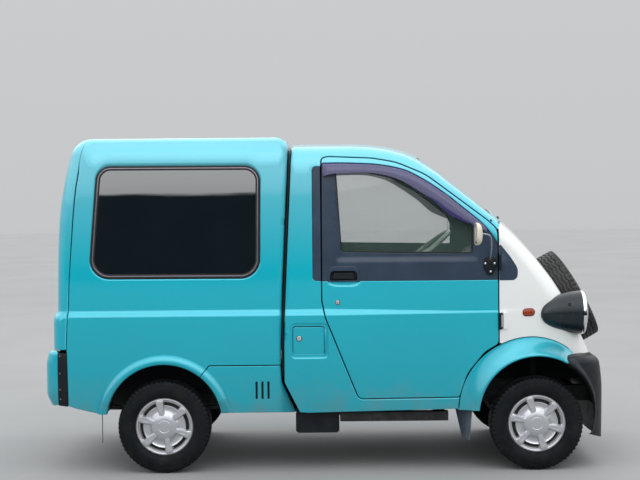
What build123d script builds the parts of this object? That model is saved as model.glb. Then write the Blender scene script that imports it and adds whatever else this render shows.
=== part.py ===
from build123d import *
import math
import os

# Small box-bodied kei truck. Millimetres, +X forward, +Y to the vehicle's left, +Z up.
# Origin: on the ground, under the middle of the overall box.

os.makedirs("parts", exist_ok=True)

# ---------------------------------------------------------------- main sizes
WHEELBASE = 1840.0
FRONT_AXLE_X = 1011.0
REAR_AXLE_X = FRONT_AXLE_X - WHEELBASE
AXLE_Z = 229.0            # axle height = road tyre radius
TYRE_R = 229.0
TYRE_W = 144.0
RIM_R = 127.0             # bead seat, 10 inch wheel
FLANGE_R = 141.0
WHEEL_Y = 549.0           # wheel centre plane
KINGPIN_Y = 445.0

REAR_END_X = -1422.0      # back of the rear bumper
NOSE_END_X = 1423.0       # outer lower edge of the spare tyre
HALF_LOW = 621.0          # half width below the shoulder
HALF_UP = 602.0           # half width just above the shoulder
HALF_FLARE = 647.5        # half width over the wheel-arch flares
SHOULDER_LOW_Z = 776.0
SHOULDER_TOP_Z = 803.0
ROOF_BOX_Z = 1668.0       # crown of the load box
ROOF_CAB_Z = 1630.0       # crown of the cab
GAP_X = -235.0            # cab's rear face, low down
GAP_TOP_X = -190.0        # cab's rear face at roof height
GAP = 11.0                # open gap between cab and load box
BOX_REAR_X = -1388.0      # rear face of the lower body
SILL_Z = 292.0
DOOR_GAP = 9.0
WALL = 34.0               # cab wall and door thickness, low down
FLOOR_BOX_Z = 575.0       # load floor, top

ARCH_REAR = (-827.0, 256.0, 284.0)     # x, z, radius of the wheel cut
ARCH_FRONT = (1014.0, 275.0, 289.0)
FLARE_REAR_R = 332.0
FLARE_FRONT = (980.0, 300.0, 354.0)    # x, z, radius of the flare's outer edge

DOOR_HINGE = (831.0, 614.0)            # x, y of the exposed hinge pins
DOOR_PINS = [(1027.0, 76.0), (738.0, 82.0)]   # middle height and length of each
TAILGATE_HINGE = (-1204.0, 1664.0)     # x, z of the tailgate's hinge line
LID_HINGE = (-31.0, -621.0)            # x, y of the fuel lid's hinge


# ---------------------------------------------------------------- helpers
def outline(rows):
    """Closed outline with rounded corners. Rows: first coordinate, second coordinate, corner radius."""
    Polygon(*[(a, b) for a, b, r in rows], align=None)
    for a, b, r in rows:
        if r:
            fillet(vertices().sort_by_distance((a, b, 0))[0], radius=r)


def save(builder, name, part=None):
    solid = part if part is not None else builder.part
    solid.label = name
    export_step(solid, "parts/" + name + ".step")
    print(name, round(solid.volume / 1e6, 3), "litres", len(solid.solids()), "solid(s)", flush=True)


def slab(rows, y0, y1):
    """Side-view outline (x, z, radius) made into a slab from y0 to y1."""
    with BuildPart() as s:
        with BuildSketch(Plane.XZ.offset(-y1)):
            outline(rows)
        extrude(amount=y1 - y0)
    return s.part


def box(x0, x1, y0, y1, z0, z1):
    with BuildPart() as b:
        with Locations(((x0 + x1) / 2, (y0 + y1) / 2, (z0 + z1) / 2)):
            Box(x1 - x0, y1 - y0, z1 - z0)
    return b.part


def rod(x, y, z, axis, r, length):
    """Round bar centred on a point, along one of the planes' normals."""
    plane = {"X": Plane.YZ, "Y": Plane.XZ, "Z": Plane.XY}[axis]
    with BuildPart() as c:
        with BuildSketch(Plane(origin=(x, y, z), x_dir=plane.x_dir, z_dir=plane.z_dir)):
            Circle(r)
        extrude(amount=length / 2, both=True)
    return c.part


def bar(p, q, r):
    """Round bar between two points."""
    a, b = Vector(*p), Vector(*q)
    with BuildPart() as c:
        with BuildSketch(Plane(origin=a, z_dir=(b - a).normalized())):
            Circle(r)
        extrude(amount=(b - a).length)
    return c.part


def both_sides(part):
    """The part and its mirror image in the middle plane."""
    return part + part.mirror(Plane.XZ)


# ---------------------------------------------------------------- body volumes
def section(t, crown, side_top, corner):
    """Cross-section of the body, moved in by the wall t, in the YZ plane."""
    low, up = HALF_LOW - t, HALF_UP - t
    top_y, top_z = side_top
    with BuildSketch() as face:
        with BuildLine():
            a = Line((0, 250), (low - 4, 250))
            b = Line(a @ 1, (low, 560))
            c = Line(b @ 1, (low, SHOULDER_LOW_Z))
            d = Line(c @ 1, (up, SHOULDER_TOP_Z))
            e = ThreePointArc(d @ 1, ((up + top_y) / 2 - t / 2 + 14, (SHOULDER_TOP_Z + top_z) / 2), (top_y - t, top_z - t))
            ThreePointArc(e @ 1, ((top_y - t) / 2, crown - t - (crown - top_z) / 4), (0, crown - t))
            mirror(about=Plane.YZ)
        make_face()
        for s in (1, -1):
            fillet(vertices().sort_by_distance((s * (top_y - t), top_z - t, 0))[0], radius=corner)
    return face.sketch


def cab_volume(t):
    with BuildPart() as v:
        # centre-line profile of roof, windscreen and nose, turned about a far upright axis
        # so that windscreen and nose bow forward in plan
        with BuildSketch(Plane.XZ):
            with BuildLine():
                a = Line((-900, 240), (-900, ROOF_CAB_Z + 2))
                b = Line(a @ 1, (150, ROOF_CAB_Z + 2))
                c = ThreePointArc(b @ 1, (305, 1616), (440, 1560))
                d = Line(c @ 1, (892, 1221))
                e = ThreePointArc(d @ 1, (1080, 1024), (1207, 846))
                f = Line(e @ 1, (1342, 544))
                g = Line(f @ 1, (1342, 240))
                Line(g @ 1, a @ 0)
            make_face()
            if t:
                offset(amount=-t, kind=Kind.INTERSECTION)
        revolve(axis=Axis((-2000, 0, 0), (0, 0, 1)), revolution_arc=46)
    body = v.part.rotate(Axis((-2000, 0, 0), (0, 0, 1)), -23)
    with BuildPart() as w:
        with BuildSketch(Plane.YZ.offset(-300)):
            add(section(t, ROOF_CAB_Z, (548, 1594), 95))
        extrude(amount=1800)
        # rear face leans with the gap, nose corners are round in plan
        with BuildSketch(Plane.XZ.offset(-700)):
            Polygon((GAP_X + t, 200), (GAP_X + t, 700), (GAP_TOP_X + t, 1640), (GAP_TOP_X + t, 1700), (1500, 1700), (1500, 200), align=None)
        extrude(amount=1400, mode=Mode.INTERSECT)
        with BuildSketch(Plane.XY.offset(200)):
            outline([(-300, -700, 0), (-300, 700, 0), (250, 700, 0), (250, HALF_LOW - t, 0), (860, 604 - t, 300),
                     (1330, 420 - t, 130), (1360, 0, 0), (1330, -420 + t, 130), (860, -604 + t, 300),
                     (250, -HALF_LOW + t, 0), (250, -700, 0)])
        extrude(amount=1600, mode=Mode.INTERSECT)
    return body & w.part


def box_volume(t):
    with BuildPart() as w:
        with BuildSketch(Plane.YZ.offset(-1500)):
            add(section(t, ROOF_BOX_Z, (553, 1650), 78))
        extrude(amount=1300)
        with BuildSketch(Plane.XZ.offset(-700)):
            with BuildLine():
                a = Line((GAP_X - GAP - t, 200), (GAP_X - GAP - t, 700))
                b = Line(a @ 1, (GAP_TOP_X - GAP - t, 1640))
                c = Line(b @ 1, (GAP_TOP_X - GAP - t, 1700))
                d = Line(c @ 1, (-1225, 1700))
                e = Line(d @ 1, (-1225 , 1669 - t))
                f = ThreePointArc(e @ 1, (-1276 + t * 0.7, 1648 - t * 0.8), (-1297 + t, 1587))
                g = ThreePointArc(f @ 1, (-1352 + t, 1265), (-1366 + t, SHOULDER_TOP_Z))
                h = Line(g @ 1, (BOX_REAR_X + t, SHOULDER_LOW_Z))
                i = Line(h @ 1, (BOX_REAR_X + t, 200))
                Line(i @ 1, a @ 0)
            make_face()
        extrude(amount=1400, mode=Mode.INTERSECT)
        with BuildSketch(Plane.XY.offset(200)):
            outline([(-200, -700, 0), (-200, 700, 0), (-1250, 700, 0), (-1250, HALF_LOW - t, 0),
                     (BOX_REAR_X + 8 + t, HALF_LOW - t, 85), (BOX_REAR_X + t, 0, 0), (BOX_REAR_X + 8 + t, -HALF_LOW + t, 85),
                     (-1250, -HALF_LOW + t, 0), (-1250, -700, 0)])
        extrude(amount=1600, mode=Mode.INTERSECT)
    return w.part


CAB_OUT = cab_volume(0)
CAB_IN = cab_volume(WALL)
BOX_OUT = box_volume(0)
BOX_IN = box_volume(30)


def arch_cut(arch, y0=330, grow=0.0):
    x, z, r = arch
    with BuildPart() as c:
        for s in (1, -1):
            with BuildSketch(Plane.XZ.offset(-s * (y0 + 700) / 2)):
                with Locations((x, z)):
                    Circle(r + grow)
                with Locations((x, z - 150)):
                    Rectangle(2 * (r + grow), 300)
            extrude(amount=(700 - y0) / 2, both=True)
    return c.part


# door outline in side view: x, z, corner radius
DOOR = [(-44, 1536, 24), (30, 1556, 120), (208, 1546, 400), (330, 1524, 300), (480, 1458, 300), (774, 1236, 60),
        (823, 1190, 60), (825, 1000, 0), (825, 626, 30), (752, 585, 120), (668, 478, 160), (628, 366, 14),
        (130, 360, 34), (-40, 800, 90), (-45, 900, 0)]
# window opening in the door: x, z, corner radius
DOOR_WINDOW = [(27, 1500, 14), (215, 1492, 300), (350, 1462, 240), (500, 1378, 200), (690, 1236, 30), (712, 1190, 20),
               (709, 1072, 14), (49, 1076, 14)]
# load-box side window: x, z, corner radius
BOX_WINDOW = [(-1097, 1514, 60), (-347, 1510, 46), (-352, 966, 60), (-1187, 970, 70)]


def grown(rows, d, y0, y1):
    with BuildPart() as s:
        with BuildSketch(Plane.XZ.offset(-y1)):
            outline(rows)
            offset(amount=d, kind=Kind.ARC)
        extrude(amount=y1 - y0)
    return s.part


# ---------------------------------------------------------------- cab shell, doors
cab_hull = CAB_OUT - CAB_IN
cab_hull -= box(-400, 1500, -700, 700, 200, SILL_Z)
door_hole = grown(DOOR, DOOR_GAP / 2, 380, 720)
door_slab = grown(DOOR, -DOOR_GAP / 2, 380, 720)
window_cut = slab(DOOR_WINDOW, 380, 720)

nose_zone = slab([(822, 1212, 0), (838, 1226, 0), (860, 1262, 0), (1500, 1262, 0), (1500, 200, 0), (600, 200, 0), (600, 640, 0), (822, 640, 0)], -700, 700)

with BuildPart() as cab_shell:
    add(cab_hull)
    add(both_sides(door_hole), mode=Mode.SUBTRACT)
    # windscreen opening
    with BuildSketch(Plane(origin=(660, 0, 1396), x_dir=(0, 1, 0), z_dir=(0.6, 0, 0.8))):
        outline([(-478, -212, 60), (478, -212, 60), (425, 268, 70), (-425, 268, 70)])
    extrude(amount=140, both=True, mode=Mode.SUBTRACT)
    add(nose_zone, mode=Mode.SUBTRACT)
    # rear window of the cab
    with BuildSketch(Plane.YZ.offset(-260)):
        outline([(-400, 1120, 40), (400, 1120, 40), (380, 1480, 40), (-380, 1480, 40)])
    extrude(amount=160, mode=Mode.SUBTRACT)
    # lower rear corner follows the gap
    add(slab([(-300, 200, 0), (-300, 447, 0), (-230, 447, 0), (-150, 287, 0), (-150, 200, 0)], -700, 700), mode=Mode.SUBTRACT)
    # recess behind the fuel lid, right side only
    add(slab([(-196, 722, 16), (-28, 722, 16), (-28, 577, 16), (-196, 577, 16)], -700, -606), mode=Mode.SUBTRACT)
    add(rod(*LID_HINGE, 650, "Z", 3.2, 92), mode=Mode.SUBTRACT)
    add(arch_cut(ARCH_FRONT), mode=Mode.SUBTRACT)
save(cab_shell, "cab_shell")

# spare wheel on the nose: middle, axis, radius, width; and the round cup pressed into the nose for it
SPARE = (1260.0, 0.0, 801.0)
SPARE_AXIS = (0.8746, 0.0, 0.4848)
SPARE_R = 250.0
SPARE_W = 138.0
CUP_R = 264.0
CUP_DEPTH = SPARE_W / 2 + 8
spare_plane = Plane(origin=SPARE, x_dir=(0, 1, 0), z_dir=SPARE_AXIS)

LAMP_Y, LAMP_Z = 430.0, 762.0            # headlight axis, along X
# half-outlines to turn round the lamp's axis: x, distance from the axis, corner radius
POD_ROWS = [(1060, 0, 0), (1060, 12, 0), (1075, 44, 0), (1112, 74, 0), (1160, 92, 0), (1290, 104, 0), (1290, 0, 0)]
LAMP_ROWS = [(1241, 0, 0), (1241, 84, 0), (1291, 84, 0), (1291, 107, 0), (1302, 107, 0), (1306, 92, 0), (1314, 66, 0), (1320, 34, 0), (1322, 0, 0)]


def turned(rows, side):
    """A round solid on the headlight's axis; side is 1 for left, -1 for right."""
    with BuildPart() as t:
        with BuildSketch(Plane.XY.offset(LAMP_Z)):
            with BuildLine():
                Polyline(*[(x, side * (LAMP_Y + r)) for x, r, c in rows], close=True)
            make_face()
        revolve(axis=Axis((1000, side * LAMP_Y, LAMP_Z), (1, 0, 0)))
    return t.part


pod_both = turned(POD_ROWS, 1) + turned(POD_ROWS, -1)
lamp_both = turned(LAMP_ROWS, 1) + turned(LAMP_ROWS, -1)
with BuildPart() as pod:
    add(pod_both)
    with BuildSketch(Plane.YZ.offset(1240)):
        with Locations((LAMP_Y, LAMP_Z), (-LAMP_Y, LAMP_Z)):
            Circle(88)
    extrude(amount=60, mode=Mode.SUBTRACT)
save(pod, "headlight_pods")
save(None, "headlights", lamp_both)

with BuildPart() as nose_panel:
    add(cab_hull & nose_zone)
    add(box(500, 1500, -700, 700, 100, 562), mode=Mode.SUBTRACT)
    add(both_sides(door_hole), mode=Mode.SUBTRACT)
    add(arch_cut((FLARE_FRONT[0], FLARE_FRONT[1], FLARE_FRONT[2] - 30)), mode=Mode.SUBTRACT)
    with BuildSketch(spare_plane.offset(-CUP_DEPTH - 40)):
        Circle(CUP_R + 12.2)
    extrude(amount=300, mode=Mode.SUBTRACT)
    add(pod_both, mode=Mode.SUBTRACT)
nose_main = Part() + nose_panel.part.solids().sort_by(SortBy.VOLUME)[-1]
for z, length in DOOR_PINS:
    nose_main -= both_sides(rod(DOOR_HINGE[0], DOOR_HINGE[1], z, "Z", 7.2, length + 2))
nose_main = Part() + nose_main.solids().sort_by(SortBy.VOLUME)[-1]
save(None, "nose_panel", nose_main)
with BuildPart() as cup:
    with BuildSketch(spare_plane.offset(-CUP_DEPTH - 14)):
        Circle(CUP_R + 12)
    extrude(amount=200)
    with BuildSketch(spare_plane.offset(-CUP_DEPTH)):
        Circle(CUP_R)
    extrude(amount=300, mode=Mode.SUBTRACT)
    add(CAB_OUT, mode=Mode.INTERSECT)
    add(pod_both, mode=Mode.SUBTRACT)
    add(box(1000, 1500, -700, 700, 200, 562), mode=Mode.SUBTRACT)
save(None, "nose_cup", Part() + cup.part.solids().sort_by(SortBy.VOLUME)[-1])


def door_pair():
    right = cab_hull & (door_slab.mirror(Plane.XZ))
    right -= window_cut.mirror(Plane.XZ)
    right = right.solids().sort_by(SortBy.VOLUME)[-1]
    return Part() + right


RIGHT_DOOR = door_pair()
with BuildPart() as right_door:
    add(RIGHT_DOOR)
    # handle pocket
    add(slab([(30, 991, 10), (172, 987, 10), (170, 936, 10), (34, 942, 10)], -640, -584), mode=Mode.SUBTRACT)
save(right_door, "right_door")
save(None, "left_door", right_door.part.mirror(Plane.XZ))

glass_skin = cab_volume(10) - cab_volume(15)
right_glass = glass_skin & grown(DOOR_WINDOW, -0.2, -720, -380)
save(None, "right_door_glass", Part() + right_glass.solids().sort_by(SortBy.VOLUME)[-1])
save(None, "left_door_glass", (Part() + right_glass.solids().sort_by(SortBy.VOLUME)[-1]).mirror(Plane.XZ))

with BuildPart() as windscreen:
    with BuildSketch(Plane(origin=(660, 0, 1396), x_dir=(0, 1, 0), z_dir=(0.6, 0, 0.8))):
        outline([(-478, -212, 60), (478, -212, 60), (425, 268, 70), (-425, 268, 70)])
        offset(amount=-0.2)
    extrude(amount=140, both=True)
save(None, "windscreen", Part() + (windscreen.part & glass_skin).solids().sort_by(SortBy.VOLUME)[-1])

# ---------------------------------------------------------------- load box and tailgate
# tailgate edge in side view: x, z, corner radius
GATE_EDGE = [(-1206, 1720, 0), (-1207, 1648, 60), (-1250, 1470, 500), (-1296, 960, 0), (-1312, 611, 0)]
gate_zone = slab(GATE_EDGE + [(-1500, 611, 0), (-1500, 1720, 0)], -700, 700)
body_zone = slab([(a + 8.0, b, r) for a, b, r in GATE_EDGE] + [(-1303, 200, 0), (-100, 200, 0), (-100, 1720, 0)], -700, 700)
box_hull = BOX_OUT - BOX_IN
box_side_window = slab(BOX_WINDOW, -720, 720)

with BuildPart() as cargo_shell:
    add(box_hull & body_zone)
    add(box(-1500, -100, -700, 700, 200, 296), mode=Mode.SUBTRACT)
    add(box_side_window, mode=Mode.SUBTRACT)
    add(arch_cut(ARCH_REAR, 520), mode=Mode.SUBTRACT)
    # skirt panels ahead of the wheel are pieces of their own
    add(both_sides(slab([(-700, 534, 0), (-100, 531, 0), (-100, 200, 0), (-700, 200, 0)], 560, 700)), mode=Mode.SUBTRACT)
    add(box(-300, -180, -560, 560, 200, 556), mode=Mode.SUBTRACT)
save(cargo_shell, "cargo_shell", Part() + cargo_shell.part.solids().sort_by(SortBy.VOLUME)[-1])

with BuildPart() as tailgate:
    add(box_hull & gate_zone)
    with BuildSketch(Plane.YZ.offset(-1500)):
        outline([(-470, 1010, 70), (470, 1010, 70), (430, 1490, 80), (-430, 1490, 80)])
    extrude(amount=300, mode=Mode.SUBTRACT)
    add(both_sides(rod(TAILGATE_HINGE[0], 300, TAILGATE_HINGE[1], "Y", 4.4, 92)), mode=Mode.SUBTRACT)
save(tailgate, "tailgate", Part() + tailgate.part.solids().sort_by(SortBy.VOLUME)[-1])

gate_skin = box_volume(8) - box_volume(13)
with BuildPart() as tailgate_glass:
    with BuildSketch(Plane.YZ.offset(-1500)):
        outline([(-470, 1010, 70), (470, 1010, 70), (430, 1490, 80), (-430, 1490, 80)])
        offset(amount=-0.2)
    extrude(amount=300)
save(None, "tailgate_glass", Part() + (tailgate_glass.part & gate_skin).solids().sort_by(SortBy.VOLUME)[-1])
side_glass = gate_skin & grown(BOX_WINDOW, -0.2, -720, 720)
save(None, "cargo_side_glass", Part() + [s for s in side_glass.solids() if s.volume > 1e5])

with BuildPart() as side_skirts:
    # lower panels between rear wheel and cab
    add(slab([(-612, 529, 6), (-252, 529, 6), (-246, 447, 20), (-166, 296, 6), (-560, 296, 0), (-620, 440, 0)], 592, 700))
    add(BOX_OUT, mode=Mode.INTERSECT)
    add(arch_cut(ARCH_REAR, 520), mode=Mode.SUBTRACT)
save(side_skirts, "side_skirts", both_sides(side_skirts.part))

# ---------------------------------------------------------------- flares
with BuildPart() as rear_flare:
    with BuildSketch(Plane.XZ.offset(-612)):
        with Locations((ARCH_REAR[0], ARCH_REAR[1])):
            Circle(FLARE_REAR_R)
        with Locations((ARCH_REAR[0], 150)):
            Rectangle(900, 2 * (SILL_Z - 150), mode=Mode.SUBTRACT)
    extrude(amount=-(HALF_FLARE - 612))
    chamfer(faces().sort_by(Axis.Y)[-1].edges().sort_by(Axis.Z)[-1], 22)
    add(arch_cut(ARCH_REAR, 560), mode=Mode.SUBTRACT)
    add(BOX_OUT, mode=Mode.SUBTRACT)
with BuildPart() as front_flare:
    with BuildSketch(Plane.XZ.offset(-560)):
        with Locations((FLARE_FRONT[0], FLARE_FRONT[1])):
            Circle(FLARE_FRONT[2])
        with Locations((FLARE_FRONT[0], 153)):
            Rectangle(900, 306, mode=Mode.SUBTRACT)
        with Locations((1400, 400)):
            Rectangle(490, 900, mode=Mode.SUBTRACT)
    extrude(amount=-(HALF_FLARE - 560))
    chamfer(faces().sort_by(Axis.Y)[-1].edges().sort_by(Axis.Z)[-1], 30)
    add(arch_cut(ARCH_FRONT, 500), mode=Mode.SUBTRACT)
    add(CAB_OUT, mode=Mode.SUBTRACT)
# ---------------------------------------------------------------- bumpers
with BuildPart() as front_bumper:
    with BuildSketch(Plane.XY.offset(106)):
        outline([(1158, -640, 0), (1368, -640, 196), (1376, 0, 0), (1368, 640, 196), (1158, 640, 0)])
    extrude(amount=460)
    fillet(faces().sort_by(Axis.Z)[-1].edges().filter_by(lambda e: e.center().X > 1160), 30)
    with BuildSketch(Plane.XY.offset(140)):
        outline([(1100, -604, 0), (1332, -604, 160), (1340, 0, 0), (1332, 604, 160), (1100, 604, 0)])
    extrude(amount=392, mode=Mode.SUBTRACT)
    add(arch_cut(ARCH_FRONT, 440), mode=Mode.SUBTRACT)
    add(box(1100, 1290, -640, 640, 90, 150), mode=Mode.SUBTRACT)
    add(box(1100, 1250, -500, 500, 90, 600), mode=Mode.SUBTRACT)
    add(nose_main, mode=Mode.SUBTRACT)
    # scoop under the spare wheel
    with BuildSketch(spare_plane.offset(-140)):
        Circle(CUP_R + 12)
    extrude(amount=300, mode=Mode.SUBTRACT)
    # grille slot and the number plate's two holes
    add(box(1300, 1400, -330, 330, 395, 455), mode=Mode.SUBTRACT)
    with BuildSketch(Plane.YZ.offset(1300)):
        with Locations((-105, 300), (105, 300)):
            Circle(3.5)
    extrude(amount=100, mode=Mode.SUBTRACT)
save(front_bumper, "front_bumper")

with BuildPart() as rear_bumper:
    with BuildSketch(Plane.XY.offset(330)):
        outline([(-1326, -624, 0), (-1392, -624, 50), (-1422, -500, 120), (-1422, 500, 120), (-1392, 624, 50), (-1326, 624, 0)])
    extrude(amount=270)
    with BuildSketch(Plane.XY.offset(330)):
        outline([(-1300, -594, 0), (-1366, -594, 30), (-1394, -480, 90), (-1394, 480, 90), (-1366, 594, 30), (-1300, 594, 0)])
    extrude(amount=242, mode=Mode.SUBTRACT)
    with BuildSketch(Plane.YZ.offset(-1300)):
        with Locations((-105, 470), (105, 470)):
            Circle(3.5)
    extrude(amount=-150, mode=Mode.SUBTRACT)
    for s in (1, -1):
        add(box(-1450, -1370, s * 490 - 70, s * 490 + 70, 490, 566), mode=Mode.SUBTRACT)
save(rear_bumper, "rear_bumper")

# ---------------------------------------------------------------- lamps
with BuildPart() as signals:
    # place and size of each lamp: x0, x1, y0, y1, z0, z1
    for x0, x1, y0, y1, z0, z1 in ((948, 1009, 560, 606, 759, 794), (1340, 1376, 430, 540, 395, 455),
                                   (-1421, -1380, 420, 560, 490, 566)):
        with Locations(((x0 + x1) / 2, (y0 + y1) / 2, (z0 + z1) / 2)):
            Box(x1 - x0, y1 - y0, z1 - z0)
    add(CAB_OUT, mode=Mode.SUBTRACT)
    add(front_bumper.part, mode=Mode.SUBTRACT)
save(None, "signal_lamps", both_sides(signals.part))

# ---------------------------------------------------------------- spare wheel on the nose

def tyre(plane, radius, width, bead):
    """Tyre section turned about the plane's normal."""
    h = width / 2
    sec = Plane(origin=plane.origin, x_dir=plane.x_dir, z_dir=-plane.y_dir)
    with BuildPart() as t:
        with BuildSketch(sec):
            with BuildLine():
                Polyline((bead, -h + 26), (bead + 15, -h + 24), (bead + 42, -h + 2), (radius - 48, -h), (radius - 12, -h + 14), (radius, -h + 30),
                         (radius, h - 30), (radius - 12, h - 14), (radius - 48, h), (bead + 42, h - 2), (bead + 15, h - 24), (bead, h - 26), close=True)
            make_face()
        revolve(axis=Axis(plane.origin, plane.z_dir))
    return t.part


def wheel(plane, bore, dish_out):
    """Steel wheel with a domed cover on its outer side (the plane's +z)."""
    sec = Plane(origin=plane.origin, x_dir=plane.x_dir, z_dir=-plane.y_dir)
    with BuildPart() as w:
        with BuildSketch(sec):
            with BuildLine():
                Polyline((FLANGE_R, 54), (FLANGE_R, 49), (RIM_R, 47.5), (RIM_R, -47.5), (FLANGE_R, -49), (FLANGE_R, -54), (FLANGE_R - 12, -54),
                         (RIM_R - 8, -47), (RIM_R - 8, dish_out - 8), (bore, dish_out - 20), (bore, dish_out + 20), (50, dish_out + 24),
                         (62, dish_out + 8), (RIM_R - 8, 42), (RIM_R - 4, 54), close=True)
            make_face()
        revolve(axis=Axis(plane.origin, plane.z_dir))
    return w.part


save(None, "spare_tyre", tyre(spare_plane, SPARE_R, SPARE_W, RIM_R))
save(None, "spare_wheel", wheel(spare_plane, 20, 20))
with BuildPart() as spare_carrier:
    with BuildSketch(spare_plane.offset(-CUP_DEPTH)):
        Circle(70)
    extrude(amount=24)
    with BuildSketch(spare_plane.offset(-CUP_DEPTH)):
        Circle(19.5)
    extrude(amount=CUP_DEPTH + 46)
spare_carrier_part = spare_carrier.part

# ---------------------------------------------------------------- frame and floors
def blocks(rows):
    """Boxes on both sides of the middle plane; a row from y0 = 0 is one box across. Rows: x0, x1, y0, y1, z0, z1."""
    with BuildPart() as b:
        for x0, x1, y0, y1, z0, z1 in rows:
            for s in ((1, -1) if y0 else (1,)):
                low = s * y0 if y0 else -y1
                with Locations(((x0 + x1) / 2, (low + s * y1) / 2, (z0 + z1) / 2)):
                    Box(x1 - x0, abs(s * y1 - low), z1 - z0)
    return b.part


# long rails and sill rails: x0, x1, y0, y1, z0, z1
frame_rails = blocks([(-1370, 1330, 268, 320, 300, 378), (40, 575, 536, 590, 246, 291)])
save(None, "frame_rails", frame_rails)
# cross members between the rails, outriggers and spring hangers outside them: x0, x1, y0, y1, z0, z1
save(None, "cross_members", blocks([
    (-1370, -1320, 0, 268, 330, 378), (-620, -570, 0, 268, 336, 378), (-220, -195, 0, 268, 336, 378),
    (520, 570, 0, 268, 300, 378), (1210, 1250, 0, 268, 300, 378),
    (60, 100, 320, 536, 252, 300), (520, 560, 320, 536, 252, 300), (60, 100, 268, 320, 252, 300), (520, 560, 268, 320, 252, 300),
    (-1200, -1150, 320, 425, 318, 378), (-470, -420, 320, 425, 318, 378)]))
with BuildPart() as towing_eye:
    # welded under the front cross member
    add(box(1212, 1248, 150, 162, 232, 300))
    fillet(edges().filter_by(Axis.Y).group_by(Axis.Z)[0], 16)
    with BuildSketch(Plane.XZ.offset(-140)):
        with Locations((1230, 258)):
            Circle(11)
    extrude(amount=-40, mode=Mode.SUBTRACT)
save(towing_eye, "towing_eye")

with BuildPart() as cab_floor:
    for x0, x1, y0, y1, z0, z1 in ((-198, 690, -584, 584, 380, 396), (690, 975, -330, 330, 380, 396),
                                   (960, 975, -330, 330, 380, 620), (960, 975, -560, 560, 600, 1000)):
        with Locations(((x0 + x1) / 2, (y0 + y1) / 2, (z0 + z1) / 2)):
            Box(x1 - x0, y1 - y0, z1 - z0)
    add(box(50, 390, -210, 210, 370, 400), mode=Mode.SUBTRACT)
    add(CAB_IN, mode=Mode.INTERSECT)
save(cab_floor, "cab_floor")

with BuildPart() as cargo_floor:
    with Locations(((-1296 - 278) / 2, 0, 565)):
        Box(1296 - 278, 1160, 20)
    # side fences down to the rails
    for s in (1, -1):
        add(box(-1300, -278, s * 294 - 26, s * 294 + 26, 378.5, 556))
save(cargo_floor, "cargo_floor")


def liner(arch, y0, y1, r_in, t):
    x, z, r = arch
    with BuildPart() as p:
        with BuildSketch(Plane.XZ.offset(-y1)):
            with Locations((x, z)):
                Circle(r_in + t)
                Circle(r_in, mode=Mode.SUBTRACT)
            with Locations((x, z - 260)):
                Rectangle(900, 520 + 30, mode=Mode.SUBTRACT)
        extrude(amount=y1 - y0)
        # inner wall above the suspension
        with BuildSketch(Plane.XZ.offset(-(y0 + 4))):
            with Locations((x, z)):
                Circle(r_in + t)
            with Locations((x, z - 200)):
                Rectangle(900, 400 + 290, mode=Mode.SUBTRACT)
        extrude(amount=4)
    return p.part


front_liner = liner(ARCH_FRONT, 334, 575, 303, 5)
with BuildPart() as fl:
    add(front_liner)
    add(front_bumper.part, mode=Mode.SUBTRACT)
    add(nose_main, mode=Mode.SUBTRACT)
    add(cab_shell.part, mode=Mode.SUBTRACT)
    add(RIGHT_DOOR.mirror(Plane.XZ), mode=Mode.SUBTRACT)
    add(cab_floor.part, mode=Mode.SUBTRACT)
fl_part = Part() + fl.part.solids().sort_by(SortBy.VOLUME)[-1]
rear_liner = liner(ARCH_REAR, 455, 590, 286, 5)
with BuildPart() as rl:
    add(rear_liner)
    add(cargo_shell.part, mode=Mode.SUBTRACT)
    add(side_skirts.part, mode=Mode.SUBTRACT)
rl_part = Part() + rl.part.solids().sort_by(SortBy.VOLUME)[-1]
save(None, "wheel_liners", both_sides(fl_part + rl_part))
flare_parts = [s for p in (rear_flare.part - rl_part - side_skirts.part, front_flare.part - fl_part) for s in p.solids() if s.volume > 2e5 and s.center().Z > 0]
save(None, "wheel_arch_flares", both_sides(Part() + flare_parts))


with BuildPart() as mud_flaps:
    add(slab([(660, 300, 0), (672, 300, 0), (682, 150, 0), (674, 150, 0)], 484, 604))
    add(slab([(-1141, 292, 0), (-1133, 292, 0), (-1133, 150, 0), (-1141, 150, 0)], 484, 604))
save(None, "mud_flaps", both_sides(mud_flaps.part))

# ---------------------------------------------------------------- drive line
with BuildPart() as engine:
    add(box(20, 420, -190, 190, 215, 376))
    add(box(60, 380, -200, 200, 397, 560))
    add(box(70, 370, -150, 150, 370, 400))
    add(box(-180, 20, -105, 105, 232, 376))
save(engine, "engine")

save(None, "propshaft", bar((-186, 0, 300), (-731, 0, 238), 24))

with BuildPart() as exhaust:
    add(bar((-120, 205, 286), (-1000, 205, 286), 19))
    add(rod(-1130, 205, 245, "X", 52, 280))
    add(bar((-1265, 205, 238), (-1400, 205, 234), 17))
    add(box(-140, -105, 106, 215, 270, 302))
save(exhaust, "exhaust")

with BuildPart() as fuel_tank:
    add(box(-180, 36, -560, -340, 186, 296))
    fillet(edges().filter_by(Axis.Y), 18)
save(fuel_tank, "fuel_tank")

with BuildPart() as rear_axle:
    add(rod(REAR_AXLE_X, 0, AXLE_Z, "Y", 32, 900))
    with BuildSketch(Plane.XZ.offset(90)):
        with Locations((REAR_AXLE_X, AXLE_Z)):
            Circle(95)
    extrude(amount=-180)
    fillet(edges().filter_by(GeomType.CIRCLE).filter_by(lambda e: abs(e.radius - 95) < 1), 40)
    for s in (1, -1):
        # brake drum backing, spindle and spring seat
        add(rod(REAR_AXLE_X, s * 474, AXLE_Z, "Y", 100, 48))
        add(rod(REAR_AXLE_X, s * 530, AXLE_Z, "Y", 15, 70))
        add(box(REAR_AXLE_X - 50, REAR_AXLE_X + 50, s * 400 - 25, s * 400 + 25, 225, 272))
save(rear_axle, "rear_axle")

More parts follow.
